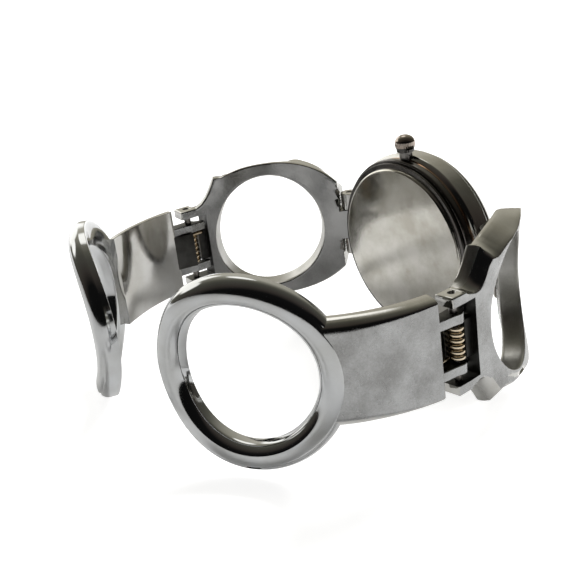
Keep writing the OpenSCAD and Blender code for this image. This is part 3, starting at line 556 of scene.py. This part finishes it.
# The crown's base below the grip is painted near black: painted shade under the knob.
refinish(crown, metal("crown_neck", (0.10, 0.095, 0.09), (0.05, 0.045, 0.04), 2600, 0.12, 0.1, 0.2),
         lambda f: f.center.z < 0.7)
crown.data.transform(Matrix.Translation((0, -2.7, crown_base)))
put(crown)
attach(crown, "crown_stem")
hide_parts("crown")

# ---- Ring links
# Each link is a bent oval ring, cast and polished on its edges with a satin outer face. A tongue pins it
# between the lug ears, and a slot between two knuckles takes the end plate's fingers and the spring.
hinge_a = link_angle + 27.7 / link_r
hinge_p = arc_point(link_c, hinge_a, link_r + link_t / 2)
ring_a = link_angle + 15.16 / link_r
hole_u, hole_z = 8.65, 9.1


def on_link(u, z, off):
    """A place on the bent link, from its flat outline seen square to the ring's middle.

    The rim slopes in to the outer face, and the ring stands out a little at its top and bottom.
    """
    hole_edge = max(0, 1 - (math.hypot(u / hole_u, z / hole_z) - 1) / 0.3) * off / link_t
    u, z = u - 0.9 * hole_edge * max(0, u / hole_u), z * (1 - 0.03 * hole_edge)
    high = abs(z)
    ends = max(0, min(1, (13 - u) / 4))
    away = max(0, min(1, (math.hypot(u / hole_u, z / hole_z) - 1) / 0.23)) * max(0, min(1, (high - 3) / 4))
    crease = 1.4 * max(0, min(1, (u - 5.5) / 2.5))
    slope = 1.7 * max(0, min(1, (u + 6) / 6)) * ends * away * max(0, off - crease) / (link_t - crease)
    off += 0.9 * (high / 11) ** 2 * max(0, min(1, (u + 15) / 5, (12 - u) / 6)) * min(1, off / 0.5 + 0.4)
    p = arc_point(link_c, ring_a + math.asin(u / (link_r + off)), link_r + off)
    return Vector((p.x, p.y, math.copysign(high - slope, z)))


def spaced(points, step):
    """The same outline with more points along its long sides."""
    out = []
    for i, p in enumerate(points):
        q = points[(i + 1) % len(points)]
        n = max(1, round(math.dist(p, q) / step))
        out += [(p[0] + (q[0] - p[0]) * k / n, p[1] + (q[1] - p[1]) * k / n) for k in range(n)]
    return out


def bent_ring(name, outline, hole, cuts, thickness, layers, rounding, segments, place):
    """A flat ring between an outline and a hole, made thick, its rims rounded, then bent to its place."""
    part = outlined(name, [(x, y, 0) for x, y in outline])
    pick(part, "FACE", lambda f: True)
    bpy.ops.mesh.delete(type="ONLY_FACE")
    bpy.ops.mesh.select_all(action="SELECT")
    for k in range(cuts):
        bpy.ops.mesh.extrude_edges_move()
        bpy.ops.object.mode_set(mode="OBJECT")
        for v in part.data.vertices:
            if v.select:
                v.co = v.co.lerp(Vector((*hole(v.co.x, v.co.y), 0)), 1 / (cuts - k))
        bpy.ops.object.mode_set(mode="EDIT")
    bpy.ops.mesh.select_all(action="SELECT")
    for k in range(layers):
        bpy.ops.mesh.extrude_region_move(TRANSFORM_OT_translate={"value": (0, 0, thickness / layers)})
    bpy.ops.mesh.select_all(action="SELECT")
    bpy.ops.mesh.normals_make_consistent(inside=False)
    bpy.ops.mesh.select_all(action="DESELECT")
    bpy.context.tool_settings.mesh_select_mode = [False, True, False]
    bpy.ops.mesh.edges_select_sharp(sharpness=math.radians(75))
    bpy.ops.mesh.bevel(offset=rounding, segments=segments)
    bpy.ops.object.mode_set(mode="OBJECT")
    for v in part.data.vertices:
        v.co = place(v.co.x, v.co.y, v.co.z)
    return outward(part)


def link_hole(x, y):
    """The hole's edge in the direction of a place on the link's flat outline."""
    k = 1 / math.hypot(x / hole_u, y / hole_z)
    return x * k, y * k


def block(name, p, heading, low, high):
    """A cutter box in the plan's heading at p."""
    bpy.ops.mesh.primitive_cube_add(size=1)
    part = bpy.context.object
    part.name = name
    part.scale = [h - l for l, h in zip(low, high)]
    part.location = [(h + l) / 2 for l, h in zip(low, high)]
    bpy.ops.object.transform_apply(location=True, rotation=True, scale=True)
    part.rotation_euler, part.location = (0, 0, heading), (p.x, p.y, 0)
    bpy.ops.object.transform_apply(location=True, rotation=True, scale=True)
    return part


pin_at = (link_r + link_t / 2) * math.sin(hinge_a - ring_a)
arc = [(math.copysign(13.85 * abs(math.cos(q)) ** 0.889, math.cos(q)), 11.2 * math.sin(q) ** 0.889)
       for q in [math.radians(64.5 + (163.0 - 64.5) * i / 44) for i in range(45)]]
shoulder = [(pin_at - back, z) for back, z in (
    (0, 6.3), (1.7, 6.3), (2.5, 6.7), (3.3, 7.5), (4.0, 8.5), (4.6, 9.6), (5.0, 10.35))]
upper = shoulder + arc + [(-14.2, 3.75), (-16.6, 3.7)]
link_outline = spaced(upper + [(x, -y) for x, y in reversed(upper)], 0.6)
link = bent_ring("ring_link", link_outline, link_hole, 6, link_t, 4, 0.24, 3, on_link)
heading = Vector((math.cos(hinge_a), math.sin(hinge_a)))
inward = Vector((-heading.y, heading.x))
knuckle_z, slot_z, slot_back, tongue_z, far_z = 6.32, 5.05, -2.6, 2.3, 20
knuckle = [hinge_p + a * heading + b * inward
           for a, b in ((-1.2, -1.41), (1.45, -1.41), (1.45, 1.41), (-1.2, 1.41))]
cut(link, from_plan("knuckles", knuckle, -knuckle_z, knuckle_z, 0.24), "UNION")
cut(link, block("slot", hinge_p, hinge_a, (slot_back, -6, -slot_z), (10.25, 6, slot_z)))
for z in (tongue_z, -tongue_z - far_z):
    cut(link, block("tongue", lug_p, lug_a, (-12, -6, z), (1.5, 6, z + far_z)))
bpy.ops.mesh.primitive_cylinder_add(vertices=144, radius=13.7, depth=40, rotation=(math.pi / 2, 0, 0))
cut(link, bpy.context.object)
for p in (hinge_p, lug_p):
    bpy.ops.mesh.primitive_cylinder_add(vertices=48, radius=pin_hole_r, depth=40, location=(*p, 0))
    cut(link, bpy.context.object)
cleaned(link)
smoothed(link, 30, 0.1)
cleaned(link, lambda f: abs(f.normal.z) < 0.5 and (f.center.to_2d() - lug_p).length < 5)
smoothed(link, 30)


def in_hinge(c):
    """A place in the hinge's own directions: along the cuff and inwards from the pin."""
    d = c.to_2d() - hinge_p
    return d.dot(heading), d.dot(inward)


satin = metal("satin_face", (0.475, 0.48, 0.48), (0.30, 0.30, 0.295), 5200, 0.5, 0.18, 0.32, 1.1)
# A darker metal for the link's inner faces: painted shade.
inner = metal("inner_face_painted_shade", (0.34, 0.34, 0.335), (0.25, 0.25, 0.245), 3800, 0.3, 0.12, 0.24, 1.0)
wall = metal("hole_wall", (0.50, 0.495, 0.475), (0.38, 0.375, 0.35), 3800, 0.4, 0.28, 0.42, 1.0)
# A near-black metal: painted shade for the hinge's hollows.
hollow_shade = metal("hollow_painted_shade", (0.075, 0.074, 0.070), (0.03, 0.029, 0.027), 3800, 0.5, 0.28, 0.5)
# A block in the slot behind the spring, painted near black all over: it stands in for the shade there.
shade_web = from_plan("shade_web", [hinge_p + a * heading + b * inward for a, b in (
    (-2.9, -0.5), (-1.3, -0.5), (-1.3, 0.5), (-2.9, 0.5))], -2.5, 2.5, 0.1)
link.data.materials.append(satin)


def lean_out(f):
    """How squarely a face of the link looks out of the cuff."""
    return f.normal.to_2d().dot((f.center.to_2d() - link_c).normalized())


ring_mid_p = arc_point(link_c, ring_a, link_r + link_t / 2)


def in_hole(f):
    """Whether a face of the link lies in the ring's hole or on its edge."""
    along = (f.center.to_2d() - ring_mid_p).dot(Vector((math.cos(ring_a), math.sin(ring_a))))
    return math.hypot(along / hole_u, f.center.z / hole_z) < 1.05


shade_web.data.materials.append(hollow_shade)
refinish(link, polished, lambda f: lean_out(f) < 0.9)
# The link's inner faces get the darker metal: painted shade.
refinish(link, inner, lambda f: lean_out(f) < -0.9)
refinish(link, wall, lambda f: abs(lean_out(f)) < 0.7 and in_hole(f))
refinish(link, wall, lambda f: abs(lean_out(f)) < 0.5 and 6.4 < abs(f.center.z) < 10 and
         -6 < in_hinge(f.center)[0] < -1.3)
# The slot's faces are painted near black: painted shade.
refinish(link, hollow_shade, lambda f: abs(f.center.z) < slot_z + 0.02 and
         in_hinge(f.center)[0] > slot_back - 0.03)
link = joined([link, smoothed(shade_web)])
for side, name in ((1, "6"), (-1, "12")):
    copy = link.copy()
    copy.data = link.data.copy()
    bpy.context.collection.objects.link(copy)
    copy.name = "bent_link_" + name
    put(copy, side=side)
    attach(copy, "case")
    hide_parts("ring_link_" + name)
bpy.data.objects.remove(link)

# ---- Hinge pins
# A drawn steel pin holds each hinge. It is pressed in a little below the knuckles' faces, with rounded ends.
pin_r, pin_z = 0.5, 5.85
for side, name in ((1, "6"), (-1, "12")):
    pin = turned("hinge_pin", [(0, -pin_z), (pin_r, -pin_z), (pin_r, pin_z), (0, pin_z)], 0.1, steps=48)
    pin.data.transform(Matrix.Translation((*hinge_p, 0)))
    pin = put(smoothed(pin), side=side)
    pin.name = "pressed_pin_" + name
    dress(pin, dark_steel)
    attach(pin, "case")
    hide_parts("hinge_pin_" + name)

# ---- Hinge springs
# A torsion spring of drawn wire is wound round each hinge pin between the fingers. One leg lies against
# the slot's wall and the other under the end plate; on the watch the curls wind up as the plate opens, but this
# spring keeps one shape.
spring_r, wire_r, curls, curl_steps, rise, leg_steps, leg_step = 0.87, 0.31, 6, 24, 0.75, 4, 0.45
low = -curls * rise / 2
line = [(spring_r, leg_step * (k - leg_steps), low) for k in range(leg_steps)]
for k in range(curls * curl_steps + 1):
    turn = k * math.tau / curl_steps
    line.append((spring_r * math.cos(turn), spring_r * math.sin(turn), low + k * rise / curl_steps))
line += [(spring_r, leg_step * (k + 1), -low) for k in range(leg_steps)]
spring_wire = metal("drawn_wire", (0.78, 0.68, 0.52), (0.60, 0.48, 0.33), 6500, 0.2, 0.12, 0.24)
for side, name in ((1, "6"), (-1, "12")):
    path = bpy.data.curves.new("spring_line", "CURVE")
    path.dimensions = "3D"
    path.bevel_depth, path.bevel_resolution, path.use_fill_caps = wire_r, 4, True
    spline = path.splines.new("POLY")
    spline.points.add(len(line) - 1)
    to_hinge = Matrix.Translation((*hinge_p, 0)) @ Matrix.Rotation(hinge_a + math.pi / 2, 4, "Z")
    for point, place in zip(spline.points, line):
        point.co = (*(to_hinge @ Vector(place)), 1)
    spring = bpy.data.objects.new("wound_spring_" + name, path)
    bpy.context.collection.objects.link(spring)
    bpy.ops.object.select_all(action="DESELECT")
    spring.select_set(True)
    bpy.context.view_layer.objects.active = spring
    bpy.ops.object.convert(target="MESH")
    pick(bpy.context.object, "VERT", lambda v: True)
    bpy.ops.mesh.remove_doubles(threshold=0.001)
    bpy.ops.mesh.select_all(action="DESELECT")
    bpy.ops.mesh.select_non_manifold()
    bpy.ops.mesh.edge_face_add()
    bpy.ops.object.mode_set(mode="OBJECT")
    bpy.ops.object.shade_smooth()
    spring = put(bpy.context.object, side=side)
    dress(spring, spring_wire)
    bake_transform(spring)
    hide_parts("hinge_spring_" + name)

# ---- End plates
# A bent plate with bevelled long edges carries each end ring. Two fingers with rolled barrels ride on the
# hinge pin. The outer face is satin, the bevels are polished.
plate_r, plate_off, plate_t, plate_z, plate_from, plate_len, plate_steps = 20.2, 0.25, 2.3, 6.9, 2.8, 12.7, 26
plate_c = arc_center(arc_point(link_c, hinge_a, link_r), hinge_a, plate_r)


def on_plate(s, z, off):
    """A place on the bent plate, by the way along it from the hinge."""
    p = arc_point(plate_c, hinge_a + s / plate_r, plate_r + plate_off + off)
    return Vector((p.x, p.y, z))


plate_edge = [(0, plate_z), (0.9, 6.75), (1.6, 6.45), (2.1, 6.0), (plate_t, 5.5)]
plate = outlined("plate", [(plate_from, -z, off) for off, z in plate_edge]
                 + [(plate_from, z, off) for off, z in reversed(plate_edge)])
pick(plate, "VERT", lambda v: True)
bpy.ops.mesh.bevel(offset=0.22, segments=3, affect="VERTICES")
pick(plate, "FACE", lambda f: True)
for k in range(plate_steps):
    bpy.ops.mesh.extrude_region_move(TRANSFORM_OT_translate={"value": (plate_len / plate_steps, 0, 0)})
bpy.ops.mesh.select_all(action="SELECT")
bpy.ops.mesh.normals_make_consistent(inside=False)
bpy.ops.object.mode_set(mode="OBJECT")
places = [v.co.copy() for v in plate.data.vertices]
pick(plate, "EDGE", lambda e: all(places[i].x < plate_from + 0.01 for i in e.vertices))
bpy.ops.mesh.bevel(offset=0.16, segments=3)
bpy.ops.object.mode_set(mode="OBJECT")
# the bevels narrow toward the hinge, and the lower edge rises there
for v in plate.data.vertices:
    slope = 0.5 + 0.5 * max(0, min(1, (v.co.x - 3.5) / 9))
    v.co.y = math.copysign(plate_z - (plate_z - abs(v.co.y)) * slope, v.co.y)
    v.co.y *= 1 if v.co.y > 0 else 1 - 0.055 * max(0, 1 - (v.co.x - plate_from) / 10)
    v.co = on_plate(v.co.x, v.co.y, v.co.z)
smoothed(outward(plate), 30)
finger_in = [on_plate(3.8 * i / 4, 0, 0.1).to_2d() for i in range(5)]
finger_out = [on_plate(3.8 * i / 4, 0, plate_t - 0.1).to_2d() for i in range(5)]
heel = [hinge_p - 2.5 * heading + 1.03 * inward, hinge_p - 2.5 * heading + 0.34 * inward]


def bent(p, bend):
    """A place of the plate's plan once the plate is bent inwards by this angle at the hinge."""
    return hinge_p + Matrix.Rotation(bend, 2) @ (p - hinge_p)


plates = {}
bends, finger_z, finger_t = {"12": math.radians(2.5), "6": math.radians(-4.6)}, 2.6, 1.3
for name, bend in bends.items():
    bent_in, bent_out = [bent(p, bend) for p in finger_in], [bent(p, bend) for p in finger_out]
    finger_plan = (heel + rounded_end(hinge_p, hinge_a, 1.25, -164, -90 + math.degrees(bend)) + bent_out[1:]
                   + bent_in[:0:-1] + [hinge_p + 1.2 * inward])
    body = plate.copy()
    body.data = plate.data.copy()
    bpy.context.collection.objects.link(body)
    body.data.transform(Matrix.Translation((*hinge_p, 0)) @ Matrix.Rotation(bend, 4, "Z")
                        @ Matrix.Translation((*-hinge_p, 0)))
    fingers = [smoothed(from_plan("finger", finger_plan, z0, z0 + finger_t, 0.13))
               for z0 in (-finger_z - finger_t, finger_z)]
    # A block behind the spring at each plate's end, painted near black all over: it stands in for the shade
    # there.
    shelf_plan = [bent(on_plate(s, 0, off).to_2d(), bend) for s, off in (
        (0, -0.5), (3.2, 0), (3.2, 0.5), (0.95, 0.28), (0.5, 0), (0, -0.1))]
    shade_shelf = smoothed(from_plan("shade_shelf", shelf_plan, -2.7, 2.7, 0.08))
    center = bent(plate_c, bend)
    body.data.materials.append(satin)
    refinish(body, polished, lambda f: f.normal.to_2d().dot((f.center.to_2d() - center).normalized()) < 0.95)
    # The plate's end faces at the hinge and the fingers' flat faces are painted near black: painted shade.
    refinish(body, hollow_shade, lambda f: in_hinge(f.center)[0] < 2.9 and f.normal.to_2d().dot(heading) < -0.85)
    for piece, test in ((fingers[0], lambda f: abs(f.normal.z) > 0.9),
                        (fingers[1], lambda f: abs(f.normal.z) > 0.9), (shade_shelf, lambda f: True)):
        piece.data.materials.append(satin)
        refinish(piece, hollow_shade, test)
    plates[name] = joined([body] + fingers + [shade_shelf])

# ---- End rings
# A thick oval ring with rounded rims is brazed to each plate; the two rings face each other across the
# cuff's mouth. It is cast and polished bright all round.
ring_r = 27.0
ring_start = hinge_a + 12.9 / plate_r
ring_c = arc_center(arc_point(plate_c, ring_start, plate_r), ring_start, ring_r)
ring_mid = ring_start + (8.8 + 3.5) / ring_r
ring_u, ring_z, ring_half, ring_t = 10.55, 10.75, 1.75, 2.8


def on_end_ring(s, z, off):
    """A place on the bent end ring.

    Its inner face is nearly flat and its outer face round. Toward the top the round turns into a broad slope,
    and a shallow groove runs round the lower side of the outer face.
    """
    across = (math.hypot(s / ring_u, z / ring_z) - 1) * (ring_u + ring_z) / 2 / ring_half
    off = off * 0.3 / 1.3 if off < 1.3 else 0.3 + (off - 1.3) * 6 if off < 1.5 else off
    width, front = (across + 1) * ring_half, off > 1.45
    if off > 0.3:
        round_face = 1.5 + math.sqrt(max(0, 1.3 ** 2 - max(0, width - 2.2) ** 2))
        broad_face = 0.45 + 2.35 * math.sqrt(max(0, 1 - (max(0, width - 0.5) / 3.02) ** 2))
        broader = 0.45 * max(0, min(1, z / 6))
        off = 0.3 + (off - 0.3) * (1 + broader * ((broad_face - 0.3) / (round_face - 0.3) - 1))
    if front and abs(width - 2.77) < 0.1:
        off -= 0.2 * max(0, min(1, (3 - z - 0.6 * s) / 4))
    p = arc_point(ring_c, ring_mid + s / ring_r, ring_r + off - 0.3 * across ** 2 * off / ring_t)
    return Vector((p.x, p.y, z))


def rim(q, side):
    """A place beside the ring's middle line, which is an ellipse, at the ellipse's angle q."""
    n = Vector((math.cos(q) / ring_u, math.sin(q) / ring_z)).normalized()
    return ring_u * math.cos(q) + n.x * side, ring_z * math.sin(q) + n.y * side


def rim_hole(x, y):
    """The hole's edge across the ring from this place on its outside."""
    q = math.atan2(y / ring_z, x / ring_u)
    for k in range(8):
        ox, oy = rim(q, ring_half)
        q += math.remainder(math.atan2(y, x) - math.atan2(oy, ox), math.tau)
    return rim(q, -ring_half)


outer_rim = [rim(i * math.tau / 128, ring_half) for i in range(128)]
end_ring = bent_ring("rim", outer_rim, rim_hole, 2, ring_t, 1, 1.3, 12, on_end_ring)
smoothed(end_ring, 60)
dress(end_ring, metal("bright_plating", (0.57, 0.58, 0.59), (0.50, 0.505, 0.50), 3000, 0.10, 0.05, 0.12))
# the ring on the 6 o'clock side has been twisted on its plate
ring_at, twists = arc_point(ring_c, ring_mid, ring_r + ring_t / 2), {"12": 0, "6": math.radians(6)}
for side, name in ((1, "6"), (-1, "12")):
    ring = end_ring.copy()
    ring.data = end_ring.data.copy()
    bpy.context.collection.objects.link(ring)
    ring.data.transform(Matrix.Translation((*hinge_p, 0)) @ Matrix.Rotation(bends[name], 4, "Z")
                        @ Matrix.Translation((*(ring_at - hinge_p), 0)) @ Matrix.Rotation(twists[name], 4, "Z")
                        @ Matrix.Translation((*-ring_at, 0)))
    for copy, label, node, slot in ((plates[name], "bent_plate_", "end_plate_", "satin_steel"),
                                    (ring, "open_ring_", "end_ring_", "polished_steel")):
        copy.name = label + name
        put(copy, side=side)
        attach(copy, "end_" + name)
        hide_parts(node + name)
for shape in (plate, end_ring):
    bpy.data.objects.remove(shape)

# ---- Floor, light and camera
# The watch lies on its side on a white sheet, lit by three soft lamps that the metal doesn't mirror. The room
# is dark on the camera's side, with a pale side and three windows across from it for the polish to mirror.
bpy.ops.mesh.primitive_plane_add(size=6, location=(0, 0, -0.00002))
floor = bpy.context.object
floor.name = "floor"
sheet = bpy.data.materials.new("white_sheet")
sheet.use_nodes = True
nodes, links = sheet.node_tree.nodes, sheet.node_tree.links
shader = nodes["Principled BSDF"]
shader.inputs["Base Color"].default_value = (0.55, 0.55, 0.55, 1)
shader.inputs["Roughness"].default_value = 0.9
glow, add, path = (nodes.new("ShaderNodeEmission"), nodes.new("ShaderNodeAddShader"),
                   nodes.new("ShaderNodeLightPath"))
mirrored, paler, level = (nodes.new("ShaderNodeMath") for _ in range(3))
mirrored.operation, paler.operation, level.operation = "MAXIMUM", "MULTIPLY", "MAXIMUM"
links.new(path.outputs["Is Glossy Ray"], mirrored.inputs[0])
links.new(path.outputs["Is Transmission Ray"], mirrored.inputs[1])
links.new(mirrored.outputs["Value"], paler.inputs[0])
# In what the metal and glass see, the sheet glows more the further behind the watch it lies: painted light,
# bright behind and dim in front.
sheet_place, behind, painted_glow_behind = (nodes.new("ShaderNodeTexCoord"), nodes.new("ShaderNodeVectorMath"),
                                 nodes.new("ShaderNodeMapRange"))
behind.operation, behind.inputs[1].default_value = "DOT_PRODUCT", (0.82, -0.57, 0)
for key, value in (("From Min", 0.07), ("From Max", 0.25), ("To Min", 0.22), ("To Max", 1.1)):
    painted_glow_behind.inputs[key].default_value = value
links.new(sheet_place.outputs["Object"], behind.inputs[0])
links.new(behind.outputs["Value"], painted_glow_behind.inputs["Value"])
links.new(painted_glow_behind.outputs["Result"], paler.inputs[1])
links.new(paler.outputs["Value"], level.inputs[0])
far_off, far_white, seen = (nodes.new("ShaderNodeVectorMath"), nodes.new("ShaderNodeMapRange"),
                            nodes.new("ShaderNodeMath"))
far_off.operation, seen.operation = "LENGTH", "MULTIPLY"
for key, value in (("From Min", 0.2), ("From Max", 0.9), ("To Min", 1.0), ("To Max", 1.4)):
    far_white.inputs[key].default_value = value
links.new(sheet_place.outputs["Object"], far_off.inputs[0])
links.new(far_off.outputs["Value"], far_white.inputs["Value"])
links.new(far_white.outputs["Result"], seen.inputs[0])
links.new(path.outputs["Is Camera Ray"], seen.inputs[1])
links.new(seen.outputs["Value"], level.inputs[1])
links.new(level.outputs["Value"], glow.inputs["Strength"])
glow.inputs["Color"].default_value = (0.76, 0.76, 0.76, 1)
links.new(shader.outputs["BSDF"], add.inputs[0])
links.new(glow.outputs["Emission"], add.inputs[1])
links.new(add.outputs["Shader"], nodes["Material Output"].inputs["Surface"])
dress(floor, sheet)

world = bpy.data.worlds.new("studio")
bpy.context.scene.world = world
world.use_nodes = True
nodes, links = world.node_tree.nodes, world.node_tree.links
sky = nodes["Background"]
view_dir, lean, ramp = (nodes.new("ShaderNodeTexCoord"), nodes.new("ShaderNodeVectorMath"),
                        nodes.new("ShaderNodeValToRGB"))
lean.operation = "DOT_PRODUCT"
lean.inputs[1].default_value = (0.75, -0.52, 0.41)
links.new(view_dir.outputs["Generated"], lean.inputs[0])
half_lean = nodes.new("ShaderNodeMapRange")
half_lean.inputs["From Min"].default_value = -1
links.new(lean.outputs["Value"], half_lean.inputs["Value"])
links.new(half_lean.outputs["Result"], ramp.inputs["Fac"])
shades = ramp.color_ramp.elements
shades[0].position, shades[0].color = 0.0, (0.005, 0.005, 0.005, 1)
shades[1].position, shades[1].color = 1.0, (0.64, 0.61, 0.52, 1)
for position, shade in ((0.35, (0.008, 0.008, 0.008)), (0.50, (0.055, 0.047, 0.041)),
                        (0.70, (0.09, 0.087, 0.072)), (0.78, (0.13, 0.125, 0.10)), (0.85, (0.24, 0.23, 0.19)),
                        (0.92, (0.38, 0.365, 0.30)), (0.97, (0.50, 0.48, 0.40))):
    shades.new(position).color = (*shade, 1)
room = ramp.outputs["Color"]
for toward, full, none in (((0.95, -0.08, 0.30), 0.955, 0.925), ((0.50, -0.30, 0.82), 0.988, 0.972),
                           ((0.85, 0.34, 0.40), 0.99, 0.972)):
    lean, edge, window = (nodes.new("ShaderNodeVectorMath"), nodes.new("ShaderNodeMapRange"),
                          nodes.new("ShaderNodeMix"))
    lean.operation, lean.inputs[1].default_value = "DOT_PRODUCT", Vector(toward).normalized()
    edge.interpolation_type = "SMOOTHSTEP"
    edge.inputs["From Min"].default_value, edge.inputs["From Max"].default_value = none, full
    window.data_type, window.inputs["B"].default_value = "RGBA", (1.7, 1.68, 1.6, 1)
    links.new(view_dir.outputs["Generated"], lean.inputs[0])
    links.new(lean.outputs["Value"], edge.inputs["Value"])
    links.new(edge.outputs["Result"], window.inputs["Factor"])
    links.new(room, window.inputs["A"])
    room = window.outputs["Result"]
white, mix, path = (nodes.new("ShaderNodeBackground"), nodes.new("ShaderNodeMixShader"),
                    nodes.new("ShaderNodeLightPath"))
links.new(room, sky.inputs["Color"])
links.new(path.outputs["Is Camera Ray"], mix.inputs["Fac"])
links.new(sky.outputs["Background"], mix.inputs[1])
links.new(white.outputs["Background"], mix.inputs[2])
white.inputs["Color"].default_value = (1, 1, 1, 1)
links.new(mix.outputs["Shader"], nodes["World Output"].inputs["Surface"])

for place, power, size in (((0.12, -0.40, 0.34), 4.6, 0.24), ((-0.35, 0.30, 0.30), 0.9, 0.4),
                           ((-0.15, -0.45, 0.10), 0.7, 0.3)):
    bpy.ops.object.light_add(type="AREA", location=place)
    lamp = bpy.context.object
    lamp.data.energy, lamp.data.size = power, size
    lamp.rotation_euler = (Vector(place) - Vector((0, 0, axis_z))).to_track_quat("Z", "Y").to_euler()
    lamp.visible_glossy = False

# the camera's turn, height and roll, its way from the point it looks at, and its focal length in pixels
az, el, roll = math.radians(235.586), math.radians(21.33), math.radians(7.665)
away, focal, picture_width = 0.152348, 1108.808, 580
backwards = Vector((math.sin(az) * math.cos(el), -math.cos(az) * math.cos(el), math.sin(el)))
right = Vector((math.cos(az), math.sin(az), 0))
up = backwards.cross(right)
turned_right = math.cos(roll) * right - math.sin(roll) * up
turned_up = math.sin(roll) * right + math.cos(roll) * up
bpy.ops.object.camera_add()
camera = bpy.context.object
spin = Matrix((turned_right, turned_up, backwards)).transposed().to_4x4()
camera.matrix_world = Matrix.Translation(Vector((0.000165, 0.000371, 0.013937)) + backwards * away) @ spin
camera.data.sensor_width, camera.data.lens = 36, focal / picture_width * 36
camera.data.clip_start = 0.005
bpy.context.scene.camera = camera
bpy.context.scene.view_settings.view_transform = "Standard"
